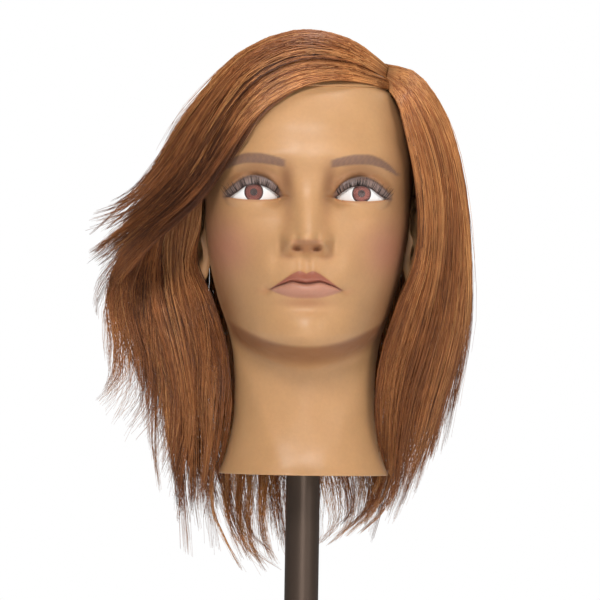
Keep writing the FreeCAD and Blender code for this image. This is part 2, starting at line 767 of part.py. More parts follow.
def lies_on(edge, y, z):
    """Whether an edge runs along X at this Y and Z."""
    return all(abs(v.Y - y) < 0.01 and abs(v.Z - z) < 0.01 for v in edge.Vertexes)


def clamp_frame():
    """C-shaped frame with lugs for the knuckle and a seat for the screw's bush."""
    top, low = PAD_THICK + JAW_THICK, lower_jaw_top() - LOWER_THICK
    spine_out = SPINE_IN + SPINE_THICK
    outline = [
        (JAW_TIP, PAD_THICK),
        (SPINE_IN, PAD_THICK),
        (SPINE_IN, lower_jaw_top()),
        (LOWER_TIP, lower_jaw_top()),
        (LOWER_TIP, low),
        (spine_out, low),
        (spine_out, top),
        (JAW_TIP, top),
    ]
    points = [V(-FRAME_HALF, y, z) for y, z in outline]
    body = Part.Face(Part.makePolygon(points + points[:1])).extrude(V(2 * FRAME_HALF, 0, 0))
    corners = [(spine_out, low, 9.0), (spine_out, top, 7.0), (JAW_TIP, top, 9.0), (LOWER_TIP, low, 7.0)]
    inner_corners = [(SPINE_IN, PAD_THICK, 4.0), (SPINE_IN, lower_jaw_top(), 5.0)]
    for y, z, radius in corners + inner_corners:
        body = body.makeFillet(radius, [e for e in body.Edges if lies_on(e, y, z)])
    for side in (1, -1):
        body = body.fuse(lug(side))
    body = body.fuse(tube(BUSH_RIM_R + SEAT_WALL, low - SEAT_PROUD, low + 2.0)).removeSplitter()
    body = body.cut(tube(BUSH_R, low - SEAT_PROUD - 1, lower_jaw_top() + 1))
    body = body.cut(tube(BUSH_RIM_R, lower_jaw_top() - BUSH_RIM, lower_jaw_top() + 1))
    body = body.cut(cross_rod(BOLT_R + BOLT_FIT, -30, 30, 0, AXIS_Z))
    pocket_low = (FRAME_HALF - POCKET_DEEP, SPINE_IN + POCKET_RIM, lower_jaw_top() + POCKET_END)
    pocket = box(pocket_low, (FRAME_HALF + 1, spine_out - POCKET_RIM, -POCKET_END))
    for side in (1, -1):
        body = body.cut(mirrored(pocket, side))
    return body


def jaw_pad():
    """Rubber pad under the upper jaw."""
    half = FRAME_HALF - PAD_INSET["side"]
    pad = box((-half, JAW_TIP + PAD_INSET["front"], 0), (half, SPINE_IN - PAD_INSET["back"], PAD_THICK))
    upright = [e for e in pad.Edges if abs(e.Vertexes[0].Z - e.Vertexes[1].Z) > 1]
    return pad.makeFillet(PAD_INSET["corner"], upright)


def thread_bush():
    """Brass bush in the lower jaw, threaded for the spindle."""
    top, low = lower_jaw_top(), lower_jaw_top() - LOWER_THICK - SEAT_PROUD
    body = tube(BUSH_R, low, top).fuse(tube(BUSH_RIM_R, top - BUSH_RIM, top))
    return body.cut(tube(SPINDLE_R + BUSH_RUN, low - 1, top + 1))


def bolt_washers():
    """Flat washers under the bolt's head and under the lever's hub."""
    face = lug_face()
    rings = []
    for low in (-face - WASHER_THICK, face):
        ring = cross_rod(WASHER_R, low, low + WASHER_THICK, 0, AXIS_Z)
        rings.append(ring.cut(cross_rod(BOLT_R + WASHER_FIT, low - 1, low + WASHER_THICK + 1, 0, AXIS_Z)))
    return Part.makeCompound(rings)


def axle_bolt():
    """Hexagon bolt that the knuckle tilts on."""
    start = -lug_face() - WASHER_THICK
    hub_floor = lug_face() + WASHER_THICK + HUB_LONG - HUB_FLOOR
    shank = cross_rod(BOLT_R, start, hub_floor - BOLT_SHORT, 0, AXIS_Z)
    head = hexagon(BOLT_HEAD_AF, BOLT_HEAD)
    head.rotate(V(0, 0, 0), V(0, 1, 0), -90)
    head.translate(V(start, 0, AXIS_Z))
    return shank.fuse(head)


def lock_lever():
    """Hub and cranked handle that tightens the knuckle."""
    face = lug_face() + WASHER_THICK
    hub = cross_rod(HUB_R, face, face + HUB_LONG, 0, AXIS_Z)
    hub = hub.makeFillet(ROUND_HUB, [e for e in hub.Edges if e.Closed and e.CenterOfMass.x > face + 1])
    x = face + HUB_LONG - ARM_INSET
    root, tip = V(x, 0, AXIS_Z), V(x + LEVER_RISE * 0.5, LEVER_REACH, AXIS_Z + LEVER_RISE)
    along = tip.sub(root)
    arm = Part.makeCone(ARM_ROOT_R, ARM_TIP_R, along.Length, root, along)
    grip = Part.makeSphere(GRIP_R, tip)
    body = hub.fuse(arm).fuse(grip)
    return body.cut(cross_rod(BOLT_R + BOLT_FIT, face - 1, face + HUB_LONG - HUB_FLOOR, 0, AXIS_Z))


def disc_top():
    return -BENCH


def pad_disc():
    """Pressure disc with a socket for the spindle's ball end."""
    top = disc_top() - DISC_PAD
    disc = tube(DISC_R, top - DISC_THICK, top)
    disc = disc.makeFillet(ROUND_SMALL, [e for e in disc.Edges if e.Closed and e.CenterOfMass.z < top - 1])
    disc = disc.fuse(tube(BALL_R + DISC_BOSS_WALL, top - DISC_THICK - DISC_BOSS, top - DISC_THICK + 1))
    socket = Part.makeSphere(BALL_R + BALL_FIT, V(0, 0, ball_z()))
    mouth = tube(BALL_R - MOUTH_LIP, top - DISC_THICK - DISC_BOSS - 1, ball_z())
    return disc.cut(socket).cut(mouth)


def ball_z():
    return disc_top() - DISC_PAD - BALL_ROOF - BALL_R


def disc_pad():
    """Rubber face of the pressure disc."""
    return tube(DISC_R - DISC_PAD_INSET, disc_top() - DISC_PAD, disc_top())


def spindle_low():
    return ball_z() - SPINDLE_LONG


def spindle():
    """Clamping screw: ball end, threaded rod and the head that the bar passes through."""
    start = ball_z()
    neck_low = start - NECK_LONG
    body = Part.makeSphere(BALL_R, V(0, 0, start)).fuse(tube(BALL_R - BALL_NECK, neck_low, start))
    body = body.fuse(tube(SPINDLE_R, spindle_low(), neck_low))
    head = tube(SPINDLE_HEAD_R, spindle_low() - SPINDLE_HEAD, spindle_low())
    head = head.makeFillet(ROUND_HUB, [e for e in head.Edges if e.Closed])
    body = body.fuse(head)
    return body.cut(cross_rod(BAR_R + BAR_FIT, -20, 20, 0, bar_z()))


def bar_z():
    return spindle_low() - SPINDLE_HEAD / 2


def tommy_bar():
    """Sliding bar that turns the spindle."""
    return cross_rod(BAR_R, -BAR_LONG / 2, BAR_LONG / 2, 0, bar_z())


def bar_knobs():
    """Plastic knobs on the ends of the bar."""
    knobs = []
    for side in (1, -1):
        inner = BAR_LONG / 2 - KNOB_LONG + KNOB_PAST
        low, high = (inner, inner + KNOB_LONG) if side > 0 else (-inner - KNOB_LONG, -inner)
        knob = cross_rod(KNOB_R, low, high, 0, bar_z())
        knob = knob.makeFillet(ROUND_KNOB, [e for e in knob.Edges if e.Closed])
        knobs.append(knob.cut(tommy_bar()))
    return Part.makeCompound(knobs)


def build():
    """Every sub-part: node name to shape."""
    nodes = {
        "head_shell": head_shell(),
        "scalp_cap": scalp_cap(),
        "foam_core": foam_core(),
        "neck_plug": neck_plug(),
        "socket_sleeve": socket_sleeve(),
    }
    for name, side in (("left", -1), ("right", 1)):
        nodes[f"eyeball_{name}"] = eyeball(side)
        nodes[f"iris_{name}"] = iris(side)
        nodes[f"pupil_{name}"] = pupil(side)
        nodes[f"cornea_{name}"] = cornea(side)
        nodes[f"lash_strip_{name}"] = lash_strip(side)
    nodes.update(hair_sections())
    nodes.update(
        {
            "swivel_spigot": swivel_spigot(),
            "grip_rings": grip_rings(),
            "retaining_washer": retaining_washer(),
            "retaining_screw": retaining_screw(),
            "swivel_bush": swivel_bush(),
            "post_tube": post_tube(),
            "post_knuckle": post_knuckle(),
            "set_screw": set_screw(),
            "axle_bolt": axle_bolt(),
            "bolt_washers": bolt_washers(),
            "lock_lever": lock_lever(),
            "clamp_frame": clamp_frame(),
            "jaw_pad": jaw_pad(),
            "thread_bush": thread_bush(),
            "pressure_disc": pad_disc(),
            "disc_pad": disc_pad(),
            "spindle": spindle(),
            "tommy_bar": tommy_bar(),
            "bar_knobs": bar_knobs(),
        }
    )
    return nodes


def main():
    os.makedirs("parts", exist_ok=True)
    for name, shape in build().items():
        shape.exportStep(f"parts/{name}.step")
        room = shape.BoundBox
        print(
            f"{name}: {len(shape.Solids)} solid(s), {shape.Volume / 1000:.1f} cm3, valid {shape.isValid()}, "
            f"x {room.XMin:.0f}..{room.XMax:.0f} y {room.YMin:.0f}..{room.YMax:.0f} "
            f"z {room.ZMin:.0f}..{room.ZMax:.0f}"
        )


main()
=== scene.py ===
import bpy
import numpy as np
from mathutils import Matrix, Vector


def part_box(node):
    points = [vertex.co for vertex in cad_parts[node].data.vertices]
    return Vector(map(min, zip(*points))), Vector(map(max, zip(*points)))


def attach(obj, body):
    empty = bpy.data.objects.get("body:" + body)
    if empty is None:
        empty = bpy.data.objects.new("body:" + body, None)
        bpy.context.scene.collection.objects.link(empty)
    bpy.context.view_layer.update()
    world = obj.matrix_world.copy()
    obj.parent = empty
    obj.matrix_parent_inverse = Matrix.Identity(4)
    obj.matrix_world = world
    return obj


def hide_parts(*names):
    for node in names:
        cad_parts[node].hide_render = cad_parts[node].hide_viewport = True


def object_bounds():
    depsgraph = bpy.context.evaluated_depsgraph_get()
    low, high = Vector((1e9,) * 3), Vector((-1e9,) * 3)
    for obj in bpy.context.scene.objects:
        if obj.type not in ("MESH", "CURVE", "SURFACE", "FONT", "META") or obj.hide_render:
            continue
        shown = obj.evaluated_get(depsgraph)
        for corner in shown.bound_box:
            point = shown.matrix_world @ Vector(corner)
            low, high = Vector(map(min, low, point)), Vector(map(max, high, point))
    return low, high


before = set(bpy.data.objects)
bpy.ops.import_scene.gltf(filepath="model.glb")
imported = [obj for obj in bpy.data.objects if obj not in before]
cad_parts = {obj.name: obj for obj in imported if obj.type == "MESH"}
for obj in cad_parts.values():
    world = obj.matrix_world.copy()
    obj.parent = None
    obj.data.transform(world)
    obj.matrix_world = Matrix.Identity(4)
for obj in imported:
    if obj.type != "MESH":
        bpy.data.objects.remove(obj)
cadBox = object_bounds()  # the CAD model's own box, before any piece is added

mm = 0.001
fullTurn = 2 * np.pi
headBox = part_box("head_shell")
rimZ = headBox[0].z  # rim of the neck, where heights on the head start
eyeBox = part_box("eyeball_right")
print("frame loaded, neck rim at", round(rimZ, 4), "crown at", round(headBox[1].z, 4))


def flow(points, column, at):
    # smooth line through a short list of points: cubic pieces whose slopes never overshoot
    xs = np.array([p[0] for p in points], float)
    ys = np.array([p[column] for p in points], float)
    step = np.diff(xs)
    rise = np.diff(ys) / step
    slope = np.zeros_like(ys)
    slope[0], slope[-1] = rise[0], rise[-1]
    same = rise[:-1] * rise[1:] > 0
    both = np.where(same, rise[:-1] + rise[1:], 1.0)
    slope[1:-1] = np.where(same, 2 * rise[:-1] * rise[1:] / both, 0.0)
    at = np.clip(at, xs[0], xs[-1])
    k = np.clip(np.searchsorted(xs, at, side="right") - 1, 0, len(xs) - 2)
    t = (at - xs[k]) / step[k]
    a, b = slope[k] * step[k], slope[k + 1] * step[k]
    start = (2 * t**3 - 3 * t**2 + 1) * ys[k] + (t**3 - 2 * t**2 + t) * a
    return start + (3 * t**2 - 2 * t**3) * ys[k + 1] + (t**3 - t**2) * b


def levels(table, at, *keys):
    # heights of several lines of one table at a distance
    return (flow(table[key], 1, at) for key in keys)


def ramp(value, low, high):
    # 0 at low, 1 at high, smooth between, either way round
    t = np.clip((value - low) / (high - low), 0, 1)
    return t * t * (3 - 2 * t)


def bell(value, middle, wide):
    # 1 at the middle, falling off to both sides
    return np.exp(-(((value - middle) / wide) ** 2))


def bump(x, h, atX, atH, wide, tall):
    # rounded swelling, 1 in its middle
    return np.exp(-(((x - atX) / wide) ** 2) - ((h - atH) / tall) ** 2)


def around(count):
    # angles all the way round
    return np.linspace(0, fullTurn, count, endpoint=False)


def unit(vectors):
    return vectors / np.maximum(np.linalg.norm(vectors, axis=-1, keepdims=True), 1e-6)


def linear(red, green, blue):
    # screen colour from 0 to 255 as the linear light that Blender's sockets take
    c = np.array([red, green, blue], float) / 255
    return np.where(c <= 0.04045, c / 12.92, ((c + 0.055) / 1.055) ** 2.4)


def meshFrom(name, verts, *faceSets):
    # a smooth-shaded object from points in metres and arrays of faces, one array for each count of corners
    mesh = bpy.data.meshes.new(name)
    verts = np.asarray(verts, np.float32)
    corners = np.concatenate([f.ravel() for f in faceSets]).astype(np.int32)
    sizes = np.concatenate([np.full(len(f), f.shape[1]) for f in faceSets])
    mesh.vertices.add(len(verts))
    mesh.vertices.foreach_set("co", verts.ravel())
    mesh.loops.add(len(corners))
    mesh.loops.foreach_set("vertex_index", corners)
    mesh.polygons.add(len(sizes))
    starts = np.concatenate([[0], np.cumsum(sizes)[:-1]]).astype(np.int32)
    mesh.polygons.foreach_set("loop_start", starts)
    mesh.polygons.foreach_set("use_smooth", np.ones(len(sizes), bool))
    mesh.update(calc_edges=True)
    mesh.validate()
    made = bpy.data.objects.new(name, mesh)
    bpy.context.scene.collection.objects.link(made)
    return made


def gridFaces(rows, columns):
    # quads of a grid of rows by columns, the columns joined round
    r = np.arange(rows - 1)[:, None] * columns
    c = np.arange(columns)[None, :]
    d = (c + 1) % columns
    return np.stack([r + c, r + d, r + columns + d, r + columns + c], -1).reshape(-1, 4)


def fan(pole, ring, after):
    # triangles between a pole and a closed ring of points, the ring before the pole or after it
    ahead = np.roll(ring, -1)
    tip = np.full(len(ring), pole)
    return np.stack([tip, ahead, ring] if after else [ring, ahead, tip], -1)


def closedFaces(rows, columns, flip=False):
    # a grid closed at both ends: its points come first, then the pole of its first row and that of its last
    first, ring = rows * columns, np.arange(columns)
    faces = [gridFaces(rows, columns), fan(first, ring, True), fan(first + 1, first - columns + ring, False)]
    return [f[:, ::-1] for f in faces] if flip else faces


def onHead(name, points, *faceSets):
    # object from points in mm on the head, heights above the rim
    return meshFrom(name, (points + [0, 0, rimZ / mm]) * mm, *faceSets)


def paint(made, name, colours):
    # one colour per point, held in an attribute that the material reads
    layer = made.data.color_attributes.new(name, "FLOAT_COLOR", "POINT")
    full = np.ones((len(colours), 4), np.float32)
    full[:, : colours.shape[1]] = colours
    layer.data.foreach_set("color", full.ravel())


# camera, in metres: its distance, how wide its view is there, and its height above the rim; roll in degrees
shot = dict(distance=6.0, field=0.388, aimHeight=0.1125, sideways=-0.0038, roll=-0.9, sensor=36.0)
studio = dict(
    floorBelow=0.03, floorHalf=6.0, floorGlow=1.07, floorShare=0.9, white=(0.93, 0.93, 0.93),
    glow=0.17, backdrop=1.0, look="Standard",
    aim=0.14,  # height above the rim that every lamp looks at
    # name, place, size, power in watts
    lamps=[
        ("keyLamp", (-0.25, -2.5, 1.75), 0.8, 50.0),
        ("fillLamp", (1.9, -1.9, 0.8), 0.9, 9.0),
        ("topLamp", (0.4, -0.1, 2.4), 0.9, 16.0),
        ("lowLamp", (0.2, -2.2, -0.15), 1.0, 9.0),
        ("backLamp", (0.9, 2.0, 1.2), 1.4, 14.0),
    ],
)


def setCamera():
    data = bpy.data.cameras.new("camera")
    data.sensor_width = shot["sensor"]
    data.lens = shot["sensor"] * shot["distance"] / shot["field"]
    made = bpy.data.objects.new("camera", data)
    bpy.context.scene.collection.objects.link(made)
    made.location = (shot["sideways"], -shot["distance"], rimZ + shot["aimHeight"])
    made.rotation_euler = (np.radians(90), np.radians(shot["roll"]), 0)
    bpy.context.scene.camera = made


def setStage():
    bpy.context.scene.view_settings.view_transform = studio["look"]
    target = Vector((0, 0, rimZ + studio["aim"]))
    for name, place, size, power in studio["lamps"]:
        data = bpy.data.lights.new(name, "AREA")
        data.shape, data.size, data.energy = "DISK", size, power
        lamp = bpy.data.objects.new(name, data)
        lamp.location = place
        lamp.rotation_euler = (target - lamp.location).to_track_quat("-Z", "Y").to_euler()
        bpy.context.scene.collection.objects.link(lamp)
    world = bpy.data.worlds.new("studioWorld")
    world.use_nodes = True
    # soft even glow on the object, and a plain near-white backdrop behind it
    glow = world.node_tree.nodes["Background"]
    glow.inputs["Color"].default_value = (1, 1, 1, 1)
    seen = world.node_tree.nodes.new("ShaderNodeLightPath")
    strength = world.node_tree.nodes.new("ShaderNodeMapRange")
    strength.inputs["To Min"].default_value = studio["glow"]
    strength.inputs["To Max"].default_value = studio["backdrop"]
    world.node_tree.links.new(seen.outputs["Is Camera Ray"], strength.inputs["Value"])
    world.node_tree.links.new(strength.outputs["Result"], glow.inputs["Strength"])
    bpy.context.scene.world = world
    half, z = studio["floorHalf"], cadBox[0].z - studio["floorBelow"]
    corners = np.array([[-half, -half, z], [half, -half, z], [half, half, z], [-half, half, z]])
    floor = meshFrom("studio_floor", corners, np.array([[0, 1, 2, 3]]))
    floor.data.materials.append(paperMaterial())


class Nodes:
    # short way to add shader nodes: each call returns the new node, sockets are set by name
    def __init__(self, name):
        self.material = bpy.data.materials.new(name)
        self.material.use_nodes = True
        self.tree = self.material.node_tree
        self.shader = self.tree.nodes["Principled BSDF"]

    def add(self, kind, **settings):
        node = self.tree.nodes.new("ShaderNode" + kind)
        for key, value in settings.items():
            if key in node.bl_rna.properties:
                setattr(node, key, value)
            else:
                node.inputs[key.replace("_", " ")].default_value = value
        return node

    def link(self, source, target):
        self.tree.links.new(source, target)

    def set(self, **values):
        for key, value in values.items():
            self.shader.inputs[key.replace("_", " ")].default_value = value

    def feed(self, source, socket):
        self.link(source, self.shader.inputs[socket])

    def noise(self, scale, detail=3.0, stretch=(1, 1, 1)):
        # noise on the object's own coordinates, in cycles per metre
        place = self.add("TexCoord")
        mapping = self.add("Mapping")
        mapping.inputs["Scale"].default_value = stretch
        self.link(place.outputs["Object"], mapping.inputs["Vector"])
        made = self.add("TexNoise", Scale=scale, Detail=detail)
        self.link(mapping.outputs["Vector"], made.inputs["Vector"])
        return made.outputs["Fac"]

    def spread(self, source, low, high, fromLow=0.3, fromHigh=0.7):
        # a number moved from one range to another
        made = self.add("MapRange")
        ends = {"From Min": fromLow, "From Max": fromHigh, "To Min": low, "To Max": high}
        for key, value in ends.items():
            made.inputs[key].default_value = value
        self.link(source, made.inputs["Value"])
        return made.outputs["Result"]

    def shade(self, source, amount, low, high, fromLow=0.3, fromHigh=0.7):
        # a colour multiplied by a grey that follows a number
        grey = self.spread(amount, low, high, fromLow, fromHigh)
        made = self.add("VectorMath", operation="SCALE")
        self.link(source, made.inputs[0])
        self.link(grey, made.inputs["Scale"])
        return made.outputs["Vector"]

    def relief(self, source, strength, depth):
        # bump from a number, depth in metres
        made = self.add("Bump", Strength=strength, Distance=depth)
        self.link(source, made.inputs["Height"])
        self.feed(made.outputs["Normal"], "Normal")


def paperMaterial():
    # white paper that takes soft shadows, lifted towards the backdrop's white where it is seen directly
    made = Nodes("floorPaper")
    made.set(Base_Color=(*studio["white"], 1), Roughness=0.9)
    light = made.add("Emission", Strength=studio["floorGlow"])
    seen, part, mix = made.add("LightPath"), made.add("MapRange"), made.add("MixShader")
    part.inputs["To Max"].default_value = studio["floorShare"]
    made.link(seen.outputs["Is Camera Ray"], part.inputs["Value"])
    made.link(part.outputs["Result"], mix.inputs[0])
    made.link(made.shader.outputs[0], mix.inputs[1])
    made.link(light.outputs[0], mix.inputs[2])
    made.link(mix.outputs[0], made.tree.nodes["Material Output"].inputs["Surface"])
    return made.material


setCamera()
setStage()
print("camera, lamps and floor set")


headForm = dict(
    # height above the rim, half width, front depth, back depth, depth of the widest place, all in mm
    sections=[
        (0, 55.0, 56.0, 58.0, 0), (6, 52.6, 53.0, 55.5, 0), (14, 50.0, 50.5, 53.0, 0),
        (26, 47.2, 48.0, 51.0, 0), (42, 45.2, 46.5, 50.5, 0), (58, 45.2, 47.5, 52.0, 0),
        (68, 45.8, 52.0, 54.0, 0), (74, 46.3, 64.0, 55.5, 0), (79, 46.9, 80.0, 57.0, 0),
        (84, 47.8, 90.5, 59.0, 0), (90, 49.2, 94.5, 62.0, 0), (98, 51.6, 95.0, 66.0, 1),
        (112, 56.5, 94.0, 73.0, 3), (131, 61.5, 94.0, 82.0, 5), (150, 64.8, 92.5, 90.0, 7),
        (163, 66.2, 88.5, 94.0, 8), (177, 67.0, 86.0, 97.0, 9), (190, 67.9, 86.8, 98.5, 10),
        (203, 68.7, 90.0, 99.5, 10), (220, 68.6, 88.0, 98.0, 11), (240, 63.5, 78.5, 91.0, 12),
        (256, 53.0, 63.0, 78.0, 13), (268, 38.0, 42.0, 60.0, 14), (275, 21.0, 16.0, 40.0, 14),
        (277.5, 7.0, -6.0, 22.0, 14),
    ],
    # power of the section's superellipse in front (height, power) and behind
    faceSquare=[
        (70, 2.05), (98, 2.0), (131, 2.1), (150, 2.3), (168, 2.7), (190, 2.75), (215, 2.4), (256, 2.2),
        (268, 2.1),
    ],
    skullSquare=2.25,
    jawRise=22.0,  # the jaw's edge is this much higher at the sides than in front
    # rows of the mesh: from, to, how many; then the rows of the inner wall, downwards
    rows=[
        (0.6, 12, 6), (12, 66, 22), (66, 80, 14), (80, 104, 30), (104, 116, 18), (116, 130, 32),
        (130, 139, 14), (139, 156, 34), (156, 170, 20), (170, 176, 11), (176, 186, 14), (186, 198, 20),
        (198, 212, 20), (212, 252, 24), (252, 277.5, 22),
    ],
    innerRows=[262, 240, 222, 212, 200, 160, 150, 110, 84, 70, 50, 26, 8, 0.0],
    columns=300, crowding=0.62,  # how far the columns gather at the face
    wall=3.6, crown=277.5, innerPole=(0, 14, 262.5), outerPole=(0, 8, 277.8),
)
eyeMiddle = (eyeBox[0] + eyeBox[1]) / 2 / mm - Vector((0, 0, rimZ / mm))
eyes = dict(
    centre=tuple(eyeMiddle), radius=(eyeBox[1].x - eyeBox[0].x) / 2 / mm,
    lid=1.5, wider=1.6,  # the lids stand this far off the ball, and reach this much further sideways
    # edges of the lids and the crease above: distance from the middle of the face, height
    upper=[
        (17.6, 178.4), (19.5, 179.6), (22.6, 182.0), (27.6, 184.8), (33.5, 185.9), (39.2, 184.9),
        (44.4, 181.5), (50.4, 177.6),
    ],
    lower=[
        (17.6, 177.9), (19.6, 176.9), (24.0, 176.2), (33.0, 175.8), (40.0, 176.0), (47.8, 176.7),
        (50.4, 177.4),
    ],
    crease=[
        (15.5, 180.0), (17.5, 182.0), (20.0, 185.2), (23.3, 188.2), (28.8, 190.9), (33.3, 191.7),
        (37.9, 191.0), (43.4, 188.5), (47.9, 185.2), (52.5, 181.0),
    ],
    lowRow=176.0, highRow=186.0,  # mesh rows that are bent to lie on the lower and the upper lid's edge
    inside=(155, 215),  # heights between which the inside of the head stays back of the eyes
)
beside = 1000.0  # depth given to a point that isn't in front of the eye
mouth = dict(
    line=[(0, 123.0), (3, 123.3), (8.4, 124.2), (14.3, 122.7), (19.3, 120.8), (23.0, 119.0), (30, 118.4)],
    top=[(0, 129.5), (4.3, 131.0), (8.0, 129.6), (12.8, 126.5), (18.0, 122.8), (23.0, 119.4)],
    bottom=[(0, 113.6), (8, 114.0), (15, 115.6), (20, 117.3), (23.0, 118.6)],
    half=23.0,
)
nose = dict(
    # height, how far it stands out, half width
    ridge=[
        (137, 0.0, 9.0), (139, 0.6, 9.0), (141, 2.2, 8.5), (143, 5.4, 8.0), (145.5, 10.5, 8.4),
        (148, 15.6, 9.4), (151, 18.6, 10.4), (154, 18.2, 10.6), (158, 15.8, 10.4), (165, 12.2, 9.8),
        (172, 8.9, 9.2), (178, 6.0, 9.2), (184, 3.9, 10.0), (190, 2.7, 12.0), (200, 1.4, 14.0),
        (212, 0.0, 18.0),
    ],
    wingAt=11.2, nostrilAt=6.2,
)
brows = dict(
    middle=[
        (15.5, 199.6), (18.0, 200.3), (24.0, 201.5), (31.5, 202.6), (38.0, 202.7), (45.5, 201.0),
        (51.5, 198.0), (57.0, 193.8),
    ],
    thick=[(15.5, 4.4), (18.0, 4.8), (31.5, 5.9), (38.0, 5.9), (45.5, 5.3), (51.5, 4.0), (57.0, 1.8)],
)
# Swellings and hollows of each half of the face: how far forward, then the middle's distance sideways and
# height, and half its width and height.
facePatches = [
    # wings of the nose, the creases round them, the nostrils and the foot of the nose
    (9.4, nose["wingAt"], 146.8, 4.5, 5.4), (2.0, nose["wingAt"], 153.0, 4.5, 5.0),
    (-1.8, 17.2, 147.0, 1.8, 5.0), (-1.0, 7.2, 153.0, 1.8, 4.0),
    (-5.5, nose["nostrilAt"], 145.4, 2.9, 1.5), (-1.0, 13.0, 139.0, 5.0, 2.4),
    # eye socket, inner corner, temple side, brow; ball of the nose; under the eye
    (-4.6, 30.0, 190.5, 15.0, 7.5), (-6.8, 16.5, 181.0, 5.4, 9.5), (2.0, 53.0, 181.0, 6.0, 10.0),
    (2.4, 33.0, 205.0, 22.0, 6.5), (1.6, 0.0, 152.5, 6.5, 4.5), (-1.2, 30.0, 169.5, 12.0, 4.5),
    # cheekbone, hollow below it, the folds beside the mouth
    (3.0, 44.0, 160.0, 15.0, 13.0), (-1.2, 46.0, 128.0, 12.0, 14.0),
    (1.6, 27.0, 133.0, 8.0, 9.0), (-0.8, 20.0, 140.0, 3.4, 6.0),
    # groove under the nose and its edge, then the hollow above the chin and the chin
    (-1.0, 0.0, 135.5, 2.3, 5.5), (0.5, 4.4, 134.5, 1.6, 5.5),
    (-2.4, 0.0, 107.5, 17.0, 4.6), (2.6, 0.0, 92.0, 17.0, 9.0),
]


def faceRelief(x, h):
    # how far the face stands forward of the plain front, in mm: ridge of the nose, patches and lips
    side = np.abs(x)
    rise, wide = flow(nose["ridge"], 1, h), flow(nose["ridge"], 2, h)
    out = rise * np.exp(-((side / wide) ** 2.4))
    for forward, *spot in facePatches:
        out += forward * bump(side, h, *spot)
    return out + lipRelief(side, h)


def lipRelief(side, h):
    # muscle ring under both lips, then each lip rolls out from the line where they meet
    line, top, bottom = levels(mouth, side, "line", "top", "bottom")
    reach = np.clip(1 - (side / (mouth["half"] + 1.5)) ** 2, 0, 1)
    out = 3.4 * bump(side, h, 0.0, 122.5, 19.0, 12.0)
    up = np.clip((h - line) / np.maximum(top - line, 0.4), 0, 3)
    down = np.clip((line - h) / np.maximum(line - bottom, 0.4), 0, 3)
    upper = np.where((h >= line) & (up < 1), np.maximum(1 - up, 0) ** 0.9 * ramp(up, -0.2, 0.42), 0)
    lower = np.where((h < line) & (down < 1), np.sin(np.pi * np.clip(down, 0, 1) ** 0.75), 0)
    out += 3.6 * reach**0.55 * upper + 3.6 * reach**0.6 * np.maximum(lower, 0) ** 0.9
    out += 0.5 * reach**0.5 * bell(h, top, 0.9)  # rim of the upper lip
    out += 0.9 * bump(side, h, 0.0, 125.6, 3.6, 2.4)
    out -= 1.7 * ramp(side, 27.0, 21.0) * bell(h, line, 0.75)
    return out - 1.5 * bump(side, h, 25.2, 118.8, 3.0, 3.0)


def ballLeft(side, h, deep):
    # what is left of 1 at a point seen from the front of the eye's ellipsoid; below 0 the point is beside it
    cx, _, ch = eyes["centre"]
    return 1 - ((side - cx) / (deep + eyes["wider"])) ** 2 - ((h - ch) / deep) ** 2


def ballDepth(side, h, grow):
    # depth of the eye's front: an ellipsoid a little wider than the ball, grown all round
    deep = eyes["radius"] + grow
    left = ballLeft(side, h, deep)
    return np.where(left > 0, eyes["centre"][1] - deep * np.sqrt(np.clip(left, 0, None)), beside)


def lidDepth(x, h, y):
    # the lids wrap the eye: whichever is further forward of the face and the grown ball, joined softly,
    # while round the opening the face sinks back to the ball; then the crease and the fold over it
    side = np.abs(x)
    ball = ballDepth(side, h, eyes["lid"])
    upper, lower, crease = levels(eyes, side, "upper", "lower", "crease")
    outside = np.maximum(np.maximum(h - upper, lower - h), 0)
    outside += 0.8 * np.maximum(np.abs(side - 34.4) - 16.8, 0)
    deep = eyes["radius"] + eyes["lid"]
    goal = eyes["centre"][1] - deep * np.sqrt(np.maximum(ballLeft(side, h, deep), 0.24))
    y = y + np.maximum(goal - y, 0) * 0.85 * bell(outside, 0, 3.4)
    soft = 0.9
    gap = np.clip(0.5 + 0.5 * (y - ball) / soft, 0, 1)
    y = np.where(ball < beside, y * (1 - gap) + ball * gap - soft * gap * (1 - gap), y)
    near = ramp(side, 16.0, 20.0) * ramp(side, 54.0, 48.0)
    return y + near * (bell(h, crease, 0.9) - 0.9 * bell(h - crease, 2.6, 1.9))


def lidRows(x, row):
    # bends the mesh rows so that one row lies on each lid's edge, and one on the line between the lips
    side = np.abs(x)
    low, high = levels(eyes, side, "lower", "upper")
    off = np.maximum(ramp(side, 17.9, 6.0), ramp(side, 51.2, 64.0))
    low = low * (1 - off) + eyes["lowRow"] * off
    high = high * (1 - off) + eyes["highRow"] * off
    share = np.clip((row - eyes["lowRow"]) / (eyes["highRow"] - eyes["lowRow"]), 0, 1)
    under = row + (low - eyes["lowRow"]) * ramp(row, eyes["lowRow"] - 14, eyes["lowRow"])
    over = row + (high - eyes["highRow"]) * ramp(row, eyes["highRow"] + 22, eyes["highRow"])
    h = np.where(row > eyes["highRow"], over, low + (high - low) * share)
    h = np.where(row < eyes["lowRow"], under, h)
    lipRow = mouth["line"][0][1]
    lips = flow(mouth["line"], 1, side) - lipRow
    return h + lips * ramp(np.abs(row - lipRow), 13, 0) * ramp(side, 40, 26)


def middleOf(h):
    # depth of the widest place of the section at a height
    return flow(headForm["sections"], 4, h)


